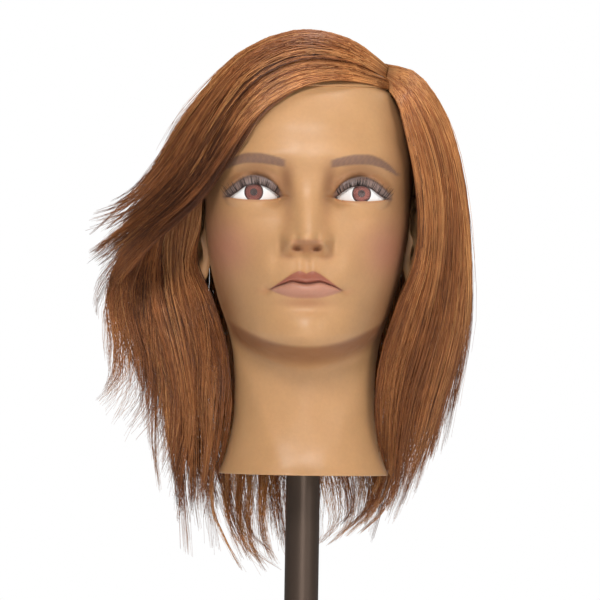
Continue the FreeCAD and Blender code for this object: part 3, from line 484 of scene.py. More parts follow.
def headGrid(theta, h, relief=True):
    # a point at each angle round the axis and height: superellipse sections, then the face pushed along -Y
    cos, sin = np.cos(theta), np.sin(theta)
    mid, half = middleOf(h), flow(headForm["sections"], 1, h)
    jaw = h - headForm["jawRise"] * cos * cos * ramp(h, 118, 95) * ramp(h, 60, 74)
    front = flow(headForm["sections"], 2, jaw) + mid
    back = flow(headForm["sections"], 3, h) - mid
    power = np.where(sin < 0, flow(headForm["faceSquare"], 1, h), headForm["skullSquare"])
    deep = np.maximum(np.where(sin < 0, front, back), 1.0)
    radius = ((np.abs(cos) / half) ** power + (np.abs(sin) / deep) ** power) ** (-1 / power)
    x, y = radius * cos, mid + radius * sin
    if relief:
        face = ramp(-sin, 0.12, 0.5) * ramp(h, 62, 76)
        y = y - face * faceRelief(x, h)
        eyeZone = (sin < 0) & (h > 155) & (h < 208) & (np.abs(x) < 62)
        y = np.where(eyeZone, lidDepth(x, h, y), y)
        y = y - neckRelief(theta, h)
    return x, y


def neckRelief(theta, h):
    # two slanting cords of the neck, the hollow between them at the bottom, and the throat
    x = 47 * np.cos(theta)
    front = ramp(-np.sin(theta), 0.1, 0.6) * ramp(h, 78, 62)
    cord = 12 + 0.42 * h
    out = 0.9 * bell(np.abs(x), cord, 6.5) * ramp(h, 2, 12)
    out -= 1.1 * bump(np.abs(x), h, 0.0, 10.0, 9.0, 13.0)
    out += 0.8 * bump(np.abs(x), h, 0.0, 44.0, 9.0, 16.0)
    return front * out


def insideGrid(theta, rows, wall, depth):
    # points of the head's sections drawn in by a wall, and kept back at a depth behind the eyes
    angle, h = np.meshgrid(theta, np.array(rows))
    x, y = headGrid(angle, h, relief=False)
    mid = middleOf(h)
    shrink = 1 - wall / np.hypot(x, y - mid)
    y = mid + (y - mid) * shrink
    low, high = eyes["inside"]
    y = np.where((h > low) & (h < high), np.maximum(y, depth), y)
    return np.stack([x * shrink, y, h], -1).reshape(-1, 3)


def makeSkin():
    # rows from the rim to the crown, columns round the head; an inner wall closes it, the eyes are cut open
    rows = [np.linspace(a, b, n, endpoint=False) for a, b, n in headForm["rows"]]
    rows = np.concatenate(rows + [[headForm["crown"]]])
    columns = headForm["columns"]
    turn = around(columns)
    theta = turn - headForm["crowding"] * np.sin(turn) - np.pi / 2
    angle, row = np.meshgrid(theta, rows)
    x, _ = headGrid(angle, row, relief=False)
    front = np.sin(angle) < 0
    h = np.where(front, lidRows(x, row), row)
    x, y = headGrid(angle, h)
    lowRow = int(np.argmin(np.abs(rows - eyes["lowRow"])))
    highRow = int(np.argmin(np.abs(rows - eyes["highRow"])))
    side = np.abs(x[lowRow])
    opened = front[lowRow] & (side > eyes["upper"][0][0]) & (side < eyes["upper"][-1][0])
    # the first two rows inside the opening turn back over the edge of each lid as far as the eye
    for edge, step in ((lowRow, 1), (highRow, -1)):
        ball = ballDepth(side, h[edge], 0)
        reach = np.where(ball < beside, ball + 0.8, y[edge] + 5)
        for k, (share, inward) in enumerate(((0.12, 0.2), (1.0, 0.3)), start=1):
            r = edge + step * k
            h[r] = np.where(opened, h[edge] + step * inward, h[r])
            x[r] = np.where(opened, x[edge], x[r])
            y[r] = np.where(opened, y[edge] + share * np.maximum(reach - y[edge], 0.6), y[r])
    # inner wall, from a closed pole under the crown down to the rim
    innerRows = headForm["innerRows"]
    rimX, rimY = headGrid(theta, np.zeros_like(theta), relief=False)
    verts = np.concatenate([
        insideGrid(theta, innerRows, headForm["wall"], eyes["centre"][1] + 15),
        np.stack([rimX * 0.99, rimY * 0.99, np.zeros_like(rimX)], -1),
        np.stack([x, y, h], -1).reshape(-1, 3),
        [headForm["innerPole"], headForm["outerPole"]],
    ])
    before = len(innerRows) + 1
    faces, *caps = closedFaces(before + len(rows), columns)
    r, c = faces[:, 0] // columns - before, faces[:, 0] % columns
    hole = opened[c] & opened[(c + 1) % columns] & (r >= lowRow + 2) & (r < highRow - 2)
    made = onHead("vinyl_skin", verts, faces[~hole], *caps)
    paint(made, "paintAndShade", makeupAndShade(verts))
    return made


# Colours of the head's paint and of painted shade: warmShade, under and nostrilShade are painted shade,
# lipLine is painted shade between the lips, lidLine is liner on the lid's edge and painted shade in the
# crease, socket is eyeshadow and painted shade.
skinColours = dict(
    skin=linear(201, 153, 106), warmShade=linear(132, 78, 48), blush=linear(200, 128, 103),
    lidPowder=linear(142, 122, 116), lidLine=linear(58, 38, 34), socket=linear(150, 102, 68),
    brow=linear(130, 98, 84), lipUpper=linear(168, 102, 82), lipLower=linear(195, 138, 114),
    lipLine=linear(104, 52, 40), nostrilShade=linear(120, 72, 48), under=linear(184, 130, 92),
    roots=linear(92, 50, 28),
)


def makeupAndShade(verts):
    # colour of each point: skin, then each painted patch laid over it with a soft edge, face paint and
    # painted shade
    x, y, h = verts[:, 0], verts[:, 1], verts[:, 2]
    side = np.abs(x)
    front = ramp(-y, -2, 30)
    colour = np.tile(skinColours["skin"], (len(verts), 1))

    def lay(name, strength):
        nonlocal colour
        a = np.clip(strength * front, 0, 1)[:, None]
        colour = colour * (1 - a) + skinColours[name] * a

    def dab(name, strength, *spot):
        lay(name, strength * bump(side, h, *spot))

    # painted shade on the side of the jaw; blush on the cheek; painted shade under the nose, round its wings
    # and beside the bridge; painted shadow under the lower lip
    jaw = 0.40 * bump(side, h, 52.0, 102.0, 14.0, 20.0)
    lay("warmShade", 0.62 * ramp(side, 40, 66) * ramp(h, 62, 92) + jaw)
    dab("blush", 0.62, 51.0, 145.0, 15.0, 17.0)
    lay("under", 0.90 * ramp(side, 11.5, 7.5) * ramp(h, 153.0, 149.5) * ramp(h, 141.5, 144.0))
    wing = 0.40 * bump(side, h, 15.4, 145.0, 2.0, 5.0)
    lay("under", wing + 0.5 * bump(side, h, 12.0, 140.0, 4.6, 1.8))
    bridge = 0.32 * bump(side, h, 12.5, 166.0, 3.8, 17.0)
    lay("under", bridge + 0.85 * bump(side, h, 0.0, 110.6, 14.0, 2.8))
    edge = 83.5 + 0.0066 * side**2  # underside of the chin and jaw
    # painted shade on the underside of the chin and jaw, with a crisp edge
    chin = ramp(h, edge + 0.8, edge - 2.6) * ramp(h, edge - 17, edge - 7)
    lay("warmShade", 0.72 * chin * ramp(side, 56, 46))
    # painted shadow at the corners of the mouth
    dab("under", 0.45, 26.5, 118.2, 4.5, 2.4)
    # lids: the socket's eyeshadow above the crease, partly painted shade, and painted shade at the inner
    # corner and beside the nose; powder; painted shade in the crease; a line along each edge, liner on the
    # upper and painted shade on the lower
    upper, lower, crease = levels(eyes, side, "upper", "lower", "crease")
    across = ramp(side, 14.5, 19.0) * ramp(side, 56.0, 50.0)
    lay("socket", 0.80 * across * ramp(h, crease + 12, crease + 1) * ramp(h, upper - 1, upper))
    corner = 0.72 * bump(side, h, 14.0, 190.0, 4.6, 10.0)
    lay("socket", corner + 0.25 * bump(side, h, 12.0, 178.0, 3.6, 9.0))
    powder = ramp(h, crease + 0.6, crease - 0.6) * ramp(h, upper - 1.6, upper - 0.6)
    lay("lidPowder", 0.9 * across * powder)
    lay("lidLine", 0.6 * across * bell(h, crease, 0.8) * ramp(h, upper, upper + 3))
    lay("lidLine", 0.9 * across * bell(h - upper, 0.2, 0.75))
    lay("under", 0.8 * across * bell(h - lower, -0.4, 0.6))
    # brow: slanting strokes between two soft edges
    middle, thick = levels(brows, side, "middle", "thick")
    inBrow = ramp(np.abs(h - middle), thick * 0.68, thick * 0.42)
    inBrow = inBrow * ramp(side, 13.0, 16.5) * ramp(side, 61.0, 56.0)
    slant = 2.6 * (side * 0.83 - h * 0.55) + 1.3 * np.sin(1.7 * h - 0.6 * side)
    lay("brow", 0.92 * inBrow * (0.93 + 0.07 * np.sin(slant)))
    line, top, bottom = levels(mouth, side, "line", "top", "bottom")
    wide = ramp(side, mouth["half"] + 0.6, mouth["half"] - 0.8)
    lay("lipUpper", wide * ramp(h, line - 0.2, line + 0.2) * ramp(h, top + 0.5, top - 0.5))
    lay("lipLower", wide * ramp(h, line + 0.2, line - 0.2) * ramp(h, bottom - 0.9, bottom + 0.9))
    # painted shade along the line between the lips
    lay("lipLine", 0.62 * ramp(side, 25.0, 21.5) * bell(h, line, 0.6))
    # painted shade in the nostrils
    dab("nostrilShade", 0.62, nose["nostrilAt"], 145.8, 3.0, 1.6)
    return colour


def vinylMaterial():
    # painted vinyl: the face paint and painted shade under a faint mottling, satin with a fine orange-peel
    # grain
    made = Nodes("paintedVinyl")
    colour = made.add("VertexColor", layer_name="paintAndShade").outputs["Color"]
    colour = made.shade(colour, made.noise(38, 4), 0.955, 1.04)
    colour = made.shade(colour, made.noise(420, 3), 0.975, 1.02)
    made.feed(colour, "Base Color")
    made.feed(made.spread(made.noise(90, 3), 0.40, 0.50), "Roughness")
    made.set(Subsurface_Weight=0.12, Subsurface_Radius=(0.004, 0.0018, 0.0009), Specular_IOR_Level=0.42)
    made.relief(made.noise(900, 3), 0.25, 0.00025)
    return made.material


def place(piece, material, body, slot, *nodes):
    # finish, body that it moves with, slot (not used), and the CAD nodes that it stands for
    piece.data.materials.append(material)
    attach(piece, body)
    if nodes:
        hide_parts(*nodes)


skinMaterial = vinylMaterial()
skin = makeSkin()
place(skin, skinMaterial, "head", "vinyl_skin", "head_shell")
print("skin", len(skin.data.polygons), "faces")


# Guides run from root to tip: distance to the right, depth (the face looks to minus), height above the rim,
# all in mm. The strands lie between neighbouring guides and gather in locks. spread and clump: how far one
# is from its lock, and how much closer at the tip; rooted: how far down some begin; depth: share down and
# thickness of the layer; wave and flick: how locks swing and kick out; cut: how much shorter some end.
hair = dict(
    body="head", rings=14, thick=0.22, strandsAPiece=2400, seed=11, offHead=3.4,
    centre=(14.0, 60.0, 200.0),  # depth of the head's middle, and the heights that it runs between
    dark=linear(78, 40, 18), middle=linear(172, 104, 56), light=linear(232, 168, 104),
)
sweepHair = dict(
    node="hair_top_sweep", strands=4600, locks=110, spread=0.05, clump=0.5, rooted=0.34,
    # shade: how much painted shade darkens the sweep's front strands where they curl under
    flick=7.0, shade=0.34,
    depth=[(0.0, 0.5), (0.25, 5.0), (0.6, 12.0), (1.0, 9.0)], wave=6.0, cut=(0.26, 0.16),
    guides=[
        [(52, -36, 248), (24, -69, 254), (-5, -78, 250), (-32, -84, 233),
         (-50, -83, 205), (-69, -64, 174), (-98, -46, 146), (-119, -40, 118)],
        [(50, -22, 256), (26, -52, 265), (-6, -66, 266), (-36, -72, 250),
         (-58, -66, 218), (-77, -52, 186), (-104, -38, 160), (-135, -28, 134)],
        [(51, -12, 260), (26, -34, 275), (-8, -44, 280), (-42, -48, 264),
         (-66, -44, 232), (-84, -34, 199), (-106, -26, 170), (-134, -18, 141)],
        [(52, 2, 263), (26, -10, 281), (-8, -14, 286), (-44, -16, 271),
         (-70, -16, 241), (-88, -12, 208), (-106, -8, 172), (-127, -6, 128)],
        [(52, 16, 263), (26, 14, 281), (-8, 14, 286), (-44, 16, 272),
         (-71, 18, 242), (-90, 18, 205), (-106, 18, 164), (-122, 16, 112)],
        [(49, 32, 261), (25, 38, 277), (-6, 42, 281), (-42, 46, 267),
         (-70, 50, 236), (-89, 50, 192), (-103, 48, 144), (-116, 46, 92)],
        [(44, 48, 256), (23, 62, 269), (-6, 72, 270), (-38, 78, 252),
         (-66, 80, 216), (-86, 76, 168), (-98, 70, 116), (-108, 64, 62)],
        [(36, 60, 251), (18, 82, 255), (-8, 98, 250), (-34, 106, 228),
         (-60, 104, 188), (-78, 96, 138), (-88, 88, 88), (-92, 80, 34)],
    ],
)
rightHair = dict(
    node="hair_right_crown hair_right_side", strands=3900, locks=110, spread=0.05, clump=0.56,
    rooted=0.4, flick=4.0,
    depth=[(0.0, 0.5), (0.25, 5.0), (0.6, 15.0), (1.0, 14.0)], wave=4.2, cut=(0.3, 0.14),
    guides=[
        [(49, -38, 249), (57, -55, 240), (65, -61, 214), (72, -50, 182),
         (73, -40, 142), (60, -32, 106), (48, -28, 60), (50, -18, -2)],
        [(50, -20, 258), (64, -42, 246), (77, -46, 220), (86, -40, 184),
         (87, -32, 142), (80, -24, 96), (68, -14, 46), (62, -4, -18)],
        [(51, -6, 263), (68, -20, 257), (86, -22, 232), (98, -18, 196),
         (104, -12, 150), (103, -4, 100), (92, 6, 46), (76, 14, -14)],
        [(50, 12, 266), (70, 8, 260), (88, 8, 235), (100, 12, 199),
         (106, 20, 152), (106, 24, 100), (98, 28, 54), (88, 32, 8)],
        [(46, 30, 267), (66, 36, 256), (84, 42, 229), (97, 48, 194),
         (103, 54, 148), (101, 56, 98), (90, 56, 44), (68, 52, -24)],
        [(40, 44, 266), (58, 62, 247), (74, 76, 216), (86, 84, 182),
         (92, 88, 138), (90, 86, 90), (80, 80, 36), (54, 66, -38)],
        [(32, 50, 268), (46, 80, 250), (62, 98, 214), (74, 104, 176),
         (80, 102, 132), (76, 94, 84), (66, 82, 32), (44, 64, -42)],
    ],
)
leftHair = dict(
    node="hair_left_side", strands=4000, locks=120, spread=0.05, clump=0.62, rooted=0.25, flick=14.0,
    depth=[(0.0, 2.0), (0.3, 8.0), (0.7, 12.0), (1.0, 8.0)], wave=8.0, cut=(0.5, 0.2),
    guides=[
        [(-58, -36, 216), (-66, -32, 190), (-69, -22, 164), (-75, 2, 138),
         (-64, 8, 114), (-52, -8, 80), (-50, -16, 42), (-58, -14, -6)],
        [(-64, -6, 216), (-82, 8, 186), (-93, 14, 152), (-91, 12, 116),
         (-81, 2, 82), (-72, -6, 48), (-66, -10, 12), (-68, -6, -30)],
        [(-65, 6, 219), (-84, 12, 186), (-101, 12, 150), (-106, 8, 116),
         (-98, 4, 84), (-88, 0, 54), (-84, -2, 28), (-92, -2, 8)],
        [(-66, 14, 222), (-90, 18, 190), (-112, 20, 158), (-126, 18, 128),
         (-128, 16, 104), (-121, 14, 82), (-117, 12, 62), (-127, 10, 46)],
        [(-66, 26, 220), (-86, 36, 186), (-102, 42, 148), (-108, 44, 110),
         (-100, 42, 74), (-90, 40, 38), (-82, 38, 8), (-84, 34, -16)],
        [(-62, 42, 217), (-80, 58, 184), (-94, 68, 144), (-99, 70, 102),
         (-92, 66, 58), (-82, 60, 20), (-74, 54, -12), (-72, 48, -36)],
        [(-56, 56, 214), (-72, 78, 182), (-83, 90, 144), (-85, 90, 100),
         (-77, 82, 56), (-64, 72, 12), (-52, 62, -24), (-44, 52, -54)],
    ],
)
backHair = dict(
    node="hair_back", strands=3300, locks=90, spread=0.05, clump=0.6, rooted=0.5, flick=2.0,
    depth=[(0.0, 1.0), (0.25, 8.0), (0.6, 26.0), (1.0, 22.0)], wave=8.0, cut=(0.5, 0.14),
    guides=[
        [(-6, 48, 276), (-40, 84, 252), (-66, 98, 208), (-80, 100, 160),
         (-84, 94, 110), (-80, 86, 60), (-68, 74, 12), (-54, 62, -30)],
        [(4, 46, 276), (-20, 94, 254), (-42, 116, 208), (-54, 122, 158),
         (-56, 118, 106), (-50, 106, 54), (-38, 90, 2), (-24, 66, -50)],
        [(14, 44, 274), (4, 98, 253), (-8, 122, 207), (-14, 127, 156),
         (-16, 123, 104), (-14, 112, 50), (-10, 92, -4), (-6, 62, -60)],
        [(24, 42, 272), (26, 96, 251), (26, 119, 205), (24, 125, 156),
         (20, 121, 106), (18, 110, 54), (16, 92, 0), (12, 64, -48)],
        [(34, 40, 269), (46, 88, 247), (58, 106, 202), (62, 111, 156),
         (60, 108, 108), (54, 98, 58), (46, 84, 6), (38, 62, -42)],
        [(42, 38, 265), (62, 74, 241), (80, 88, 200), (87, 92, 156),
         (86, 88, 108), (78, 80, 58), (66, 72, 8), (54, 58, -34)],
    ],
)
flickHair = dict(
    node="hair_top_sweep", strands=560, locks=40, spread=0.03, clump=0.86, rooted=0.3, flick=8.0,
    depth=[(0.0, 0.5), (0.3, 1.5), (1.0, 2.0)], wave=6.0, cut=(0.2, 0.12),
    guides=[
        [(50, -24, 256), (26, -54, 266), (-6, -68, 267), (-37, -74, 251),
         (-60, -66, 219), (-80, -50, 184), (-106, -36, 156), (-138, -30, 126)],
        [(50, -10, 260), (26, -34, 276), (-8, -44, 281), (-42, -48, 265),
         (-67, -44, 232), (-87, -34, 196), (-110, -28, 168), (-138, -22, 156)],
        [(50, 0, 262), (26, -8, 281), (-8, -10, 286), (-43, -14, 271),
         (-70, -14, 240), (-91, -14, 205), (-108, -14, 183), (-125, -12, 172)],
        [(50, 12, 262), (26, 10, 281), (-8, 8, 286), (-44, 10, 272),
         (-71, 12, 242), (-91, 12, 205), (-111, 12, 172), (-133, 10, 150)],
    ],
)
napeHair = dict(
    # tone 0.86: the nape's strands painted lighter, painted light standing in for light shining through them
    node="hair_back", strands=1400, locks=54, spread=0.05, clump=0.84, rooted=0.1, flick=2.0, tone=0.86,
    depth=[(0.0, 2.0), (0.4, 12.0), (1.0, 8.0)], wave=10.0, cut=(0.26, 0.14),
    guides=[
        [(-40, 72, 190), (-54, 92, 160), (-62, 98, 120), (-60, 92, 78),
         (-58, 80, 36), (-54, 66, 0), (-46, 52, -34), (-22, 40, -58)],
        [(-30, 76, 190), (-40, 98, 160), (-44, 104, 120), (-42, 98, 76),
         (-40, 84, 34), (-38, 68, -2), (-36, 52, -40), (-14, 40, -60)],
        [(-14, 80, 190), (-20, 104, 160), (-22, 110, 120), (-20, 104, 76),
         (-20, 90, 34), (-22, 74, -4), (-22, 58, -40), (-8, 44, -66)],
        [(8, 80, 190), (10, 106, 160), (12, 112, 120), (14, 104, 76),
         (18, 90, 34), (26, 74, -2), (28, 58, -28), (6, 44, -44)],
        [(30, 76, 190), (40, 98, 160), (46, 102, 120), (48, 94, 78),
         (50, 82, 36), (53, 68, 2), (47, 56, -26), (24, 46, -44)],
        [(46, 66, 190), (60, 82, 160), (68, 86, 120), (70, 80, 78),
         (71, 70, 38), (71, 60, 4), (62, 50, -22), (44, 42, -40)],
    ],
)


def catmull(p0, p1, p2, p3, t):
    # cubic through p1 and p2: half of 2 p1 + (p2-p0) t + (2p0-5p1+4p2-p3) t^2 + (3p1-p0-3p2+p3) t^3
    first, second = (p2 - p0) * t, (2 * p0 - 5 * p1 + 4 * p2 - p3) * t**2
    return 0.5 * (2 * p1 + first + second + (3 * p1 - p0 - 3 * p2 + p3) * t**3)


def along(table, place):
    # values of a table at fractional places along its first axis, by catmull pieces
    last = len(table) - 1
    k = np.clip(np.floor(place).astype(int), 0, last - 1)
    near = [table[np.clip(k + j, 0, last)] for j in (-1, 0, 1, 2)]
    t = (place - k).reshape(place.shape + (1,) * (table.ndim - 1))
    return catmull(*near, t)


def sampleGuides(guides, across, down):
    # points of a sheet of guides at a share across them and a share down each, both arrays of one shape
    fine = 48
    table = np.moveaxis(np.array(guides, float), 1, 0)
    lines = along(table, np.linspace(0, len(table) - 1, fine + 1))
    place = np.clip(down, 0, 1) * fine
    k = np.clip(place.astype(int), 0, fine - 1)
    t = (place - k)[..., None]
    count = len(guides)
    u = np.clip(across, 0, 1) * (count - 1)
    g = np.clip(np.floor(u).astype(int), 0, count - 2)
    near = [np.clip(g + j, 0, count - 1) for j in (-1, 0, 1, 2)]
    rows = [lines[k, n] * (1 - t) + lines[k + 1, n] * t for n in near]
    return catmull(*rows, (u - g)[..., None])


def outwards(points):
    # unit vector away from the middle of the head, level with it beside the neck
    middle, low, high = hair["centre"]
    away = points - [0, middle, 0]
    away[..., 2] -= np.clip(points[..., 2], low, high)
    return unit(away)


def clearOfHead(points, margin):
    # a point inside the head's section at its height moves straight out to the section and a margin
    crown = 255
    h = np.clip(points[..., 2], 0, crown)
    mid = middleOf(h)
    x, y = headGrid(np.arctan2(points[..., 1] - mid, points[..., 0]), h, relief=False)
    wanted = np.hypot(x, y - mid) + margin
    r = np.maximum(np.hypot(points[..., 0], points[..., 1] - mid), 1.0)
    grow = np.where(points[..., 2] < crown, np.maximum(wanted / r, 1.0), 1.0)
    return np.stack([points[..., 0] * grow, mid + (points[..., 1] - mid) * grow, points[..., 2]], -1)


def growStrands(spec, rng):
    # centre lines: a place across the guides and a depth under them, drawn together towards the tip in locks
    count, locks, rings = spec["strands"], spec["locks"], hair["rings"]
    s = np.linspace(0, 1, rings)[None, :]
    lock = rng.integers(0, locks, count)

    def ofLock(values):
        return values[lock][:, None]

    def ripple(low, high):
        # a small slow wave of each strand, with its own number of turns and its own start
        turns = rng.uniform(low, high, count)[:, None]
        return loose * down * np.sin(fullTurn * turns * down + rng.uniform(0, 6.3, count)[:, None])

    lockAcross = (rng.permutation(locks) + rng.random(locks)) / locks
    lockDepth = rng.random(locks) ** 1.3
    across = lockAcross[lock] + rng.normal(0, spec["spread"], count)
    across = np.where(across < 0, -across, np.where(across > 1, 2 - across, across))
    depth = np.clip(lockDepth[lock] + rng.normal(0, 0.12, count), 0, 1)
    start = depth * spec["rooted"] * rng.random(count)
    lockCut, strandCut = spec["cut"]
    end = 1 - lockCut * rng.random(locks)[lock] ** 1.6 - strandCut * rng.random(count) ** 1.8
    down = start[:, None] + (end - start)[:, None] * s
    gather = 1 - spec["clump"] * ramp(s, 0.3, 1.0)
    acrossNow = ofLock(lockAcross) + (across - lockAcross[lock])[:, None] * gather
    depthNow = ofLock(lockDepth) + (depth - lockDepth[lock])[:, None] * gather
    points = sampleGuides(spec["guides"], acrossNow, down)
    out = outwards(points)
    thin = 0.3 + 0.7 * ramp(acrossNow, 0.0, 0.22)
    points = points - out * (thin * depthNow * flow(spec["depth"], 1, down))[..., None]
    side = np.cross(unit(np.gradient(points, axis=1)), out)
    # slow swing of each lock, then a small one of each strand; a few strands fly off
    turns = ofLock(rng.uniform(0.4, 1.1, locks))
    phase = ofLock(rng.uniform(0, fullTurn, locks))
    swing = spec["wave"] * ofLock(rng.normal(0, 1, locks)) * down**1.5
    kick = spec["flick"] * ofLock(rng.uniform(-0.3, 1, locks)) * ramp(s, 0.55, 1.0) ** 2
    loose = np.where(rng.random(count) < 0.10, 4.0, 1.0)[:, None]
    fine, lift = 0.9 * ripple(0.6, 2.0), 0.7 * ripple(0.5, 1.6)
    angle = fullTurn * turns * down + phase
    points = points + side * (swing * np.sin(angle) + fine)[..., None]
    points = points + out * (0.45 * swing * np.cos(angle) + lift + kick)[..., None]
    points = clearOfHead(points, hair["offHead"])
    # lighter at the root, painted light where the roots show; lighter in streaks; darker deeper under the
    # layer, painted shade between the strands; and darker where the section's shade asks, painted shade
    # where the sweep curls under
    tone = spec.get("tone", 0.5) + 0.13 * rng.normal(0, 1, locks)[lock]
    # deeper strands darker: painted shade between the strands
    tone = np.clip(tone + 0.13 * rng.normal(0, 1, count) - 0.26 * depth, 0, 1)[:, None]
    curlShade = ramp(down, 0.42, 0.6) * ramp(down, 0.98, 0.78) * ramp(acrossNow, 0.45, 0.1)
    # streaks along the strand, and painted light near the root
    streakAndRootLight = 0.10 * np.sin(7 * down + phase) + 0.10 * (1 - ramp(down, 0.0, 0.25))
    return points, tone + streakAndRootLight - spec.get("shade", 0) * curlShade


def strandMesh(name, points, tone, thick):
    # three-sided tubes round the centre lines, thinner at the tip, each closed by a triangle at both ends
    count, rings = points.shape[:2]
    ahead = unit(np.gradient(points, axis=1))
    side = unit(np.cross(ahead, outwards(points)))
    up = np.cross(side, ahead)
    s = np.linspace(0, 1, rings)
    radius = (thick * (1 - 0.72 * s**2.5))[None, :, None, None]
    turn = np.arange(3) * fullTurn / 3
    ring = np.cos(turn)[:, None] * up[:, :, None, :] + np.sin(turn)[:, None] * side[:, :, None, :]
    verts = (points[:, :, None, :] + radius * ring).reshape(-1, 3)
    base = (np.arange(count) * rings * 3)[:, None]
    tube = gridFaces(rings, 3)
    quads = (base[:, :, None] + tube[None]).reshape(-1, 4)
    last = (rings - 1) * 3
    ends = np.array([[2, 1, 0], [last, last + 1, last + 2]])
    tris = (base[:, :, None] + ends[None]).reshape(-1, 3)
    made = onHead(name, verts, quads, tris)
    share = np.clip(tone, 0, 1)[..., None]
    colour = np.where(
        share < 0.5,
        hair["dark"] + (hair["middle"] - hair["dark"]) * share * 2,
        hair["middle"] + (hair["light"] - hair["middle"]) * (share * 2 - 1),
    )
    paint(made, "strand", np.repeat(colour[:, :, None, :], 3, axis=2).reshape(-1, 3))
    layStrandMap(made, count, rings, tube)
    return made


def layStrandMap(made, count, rings, tube):
    # each strand has its own cell of the map, ring corners across it and rings down it
    cells = int(np.ceil(np.sqrt(count)))
    cell = np.stack([np.arange(count) % cells, np.arange(count) // cells], -1) / cells
    first = np.stack([tube[:, 0] % 3, tube[:, 0] // 3], -1)[:, None, :]
    corner = np.array([[(0, 0), (1, 0), (1, 1), (0, 1)]]) + first
    quadMap = corner * [0.9 / 3, 0.9 / (rings - 1)] / cells
    endMap = np.array([[(0, 0), (0.3, 0), (0.6, 0)], [(0, 0.9), (0.3, 0.9), (0.6, 0.9)]]) / cells
    flat = [(cell[:, None, None, :] + part[None]).reshape(-1, 2) for part in (quadMap, endMap)]
    layer = made.data.uv_layers.new(name="OFBake")
    layer.data.foreach_set("uv", np.concatenate(flat).astype(np.float32).ravel())


def hairMaterial():
    # the strand's own colour, a little streaky, glossy along its length
    made = Nodes("strandHair")
    colour = made.add("VertexColor", layer_name="strand").outputs["Color"]
    colour = made.shade(colour, made.noise(60, 3), 0.86, 1.14)
    made.feed(colour, "Base Color")
    made.feed(made.spread(made.noise(150, 2), 0.34, 0.5), "Roughness")
    made.set(Specular_IOR_Level=0.55)
    return made.material


strandMaterial = hairMaterial()
rng = np.random.default_rng(hair["seed"])
hairSections = dict(
    sweep=sweepHair, flick=flickHair, right=rightHair, left=leftHair, back=backHair, nape=napeHair,
)
for name, spec in hairSections.items():
    points, tone = growStrands(spec, rng)
    pieces = -(-len(points) // hair["strandsAPiece"])
    for k in range(pieces):
        part = strandMesh(f"hair_{name}_{k + 1}", points[k::pieces], tone[k::pieces], hair["thick"])
        place(part, strandMaterial, hair["body"], "hair", *spec["node"].split())
    print("hair", name, len(points), "strands in", pieces, "pieces")


scalp = dict(
    thick=1.8, lift=0.05, rows=46, columns=200, edge=0.035, top=276.8,
    # hairline: degrees round from the face, height
    hairline=[
        (0, 249.5), (42, 249.5), (52, 243), (62, 224), (74, 200), (90, 184), (105, 168), (125, 120),
        (145, 94), (180, 86),
    ],
)


def makeScalp():
    # rows from the hairline to the crown at a share v of the way: a skin with a rounded edge, one under it
    theta = around(scalp["columns"]) - np.pi / 2
    away = np.degrees(np.arccos(-np.sin(theta)))
    start = flow(scalp["hairline"], 1, away)[None, :]
    v = np.linspace(0, 1, scalp["rows"]) ** 1.2
    layers = []
    for rows, top in ((v[::-1], scalp["lift"]), (v, scalp["thick"])):
        share, angle = np.meshgrid(rows, theta, indexing="ij")
        h = start + (scalp["top"] - start) * share
        x, y = headGrid(angle, h, relief=False)
        mid = middleOf(h)
        rounded = np.sqrt(np.clip(1 - (1 - np.clip(share / scalp["edge"], 0, 1)) ** 2, 0, 1))
        grow = top * (rounded if top > scalp["lift"] else 1.0)
        out = 1 + grow / np.hypot(x, y - mid)
        lifted = h + grow * ramp(h, 250, 276)
        layers.append(np.stack([x * out, mid + (y - mid) * out, lifted], -1).reshape(-1, 3))
    poles = np.array([[0, 10, 277.4], [0, 10, 279.3]])
    faces = closedFaces(2 * scalp["rows"], scalp["columns"])
    made = onHead("scalp_skin", np.concatenate(layers + [poles]), *faces)
    reach = np.concatenate([v[::-1], v])[:, None] * (277 - start)
    roots = np.concatenate([ramp(reach.ravel(), 5, 13), [1, 1]])[:, None]
    paint(made, "paintAndShade", skinColours["skin"] * (1 - roots) + skinColours["roots"] * roots)
    return made


foam = dict(
    rows=[262, 240, 222, 212, 200, 160, 150, 120, 96, 84, 70, 50, 26, 9.0], columns=96,
    gap=2.4, behindEyes=-44.0,
)


def makeFoam():
    # plain block of foam inside the wall: the head's sections shrunk, and flattened behind the eyes
    theta = around(foam["columns"])
    points = insideGrid(theta, foam["rows"], headForm["wall"] + foam["gap"], foam["behindEyes"])
    faces = closedFaces(len(foam["rows"]), foam["columns"], flip=True)
    return onHead("foam_filling", np.concatenate([points, [[0, 14, 262], [0, 0, 9]]]), *faces)


def onSide(verts, faces, side):
    # the right half's piece as it is, or mirrored for the left, which turns its faces round
    if side > 0:
        return verts, faces
    return verts * [-1, 1, 1], [f[:, ::-1] for f in faces]


def makeEyeWhite(name, side):
    # turned about the line of sight at an angle a from the front: a ball that grows wider sideways away from
    # the iris, with a shallow round pocket for the iris
    cx, cy, ch = eyes["centre"]
    radius, columns = eyes["radius"], 96
    start = np.arcsin(irisRadius / radius)
    turn = around(columns)
    a, b = np.meshgrid(np.linspace(start, 2.3, 46), turn, indexing="ij")
    wide = radius + eyes["wider"] * ramp(a, 0.45, 1.1)
    x, h = cx + wide * np.sin(a) * np.cos(b), ch + radius * np.sin(a) * np.sin(b)
    ball = np.stack([x, cy - radius * np.cos(a), h], -1)
    pocket = ball[:1] + [0, 2.0, 0]
    verts = np.concatenate([pocket, ball]).reshape(-1, 3)
    verts = np.concatenate([verts, [[cx, pocket[0, 0, 1], ch], [cx, cy + radius * 0.75, ch]]])
    faces = closedFaces(len(ball) + 1, columns, flip=True)
    verts, faces = onSide(verts, faces, side)
    return onHead(name, verts, *faces)


lashes = dict(count=76, length=8.6, thick=0.15, fanOut=0.5, seed=5)


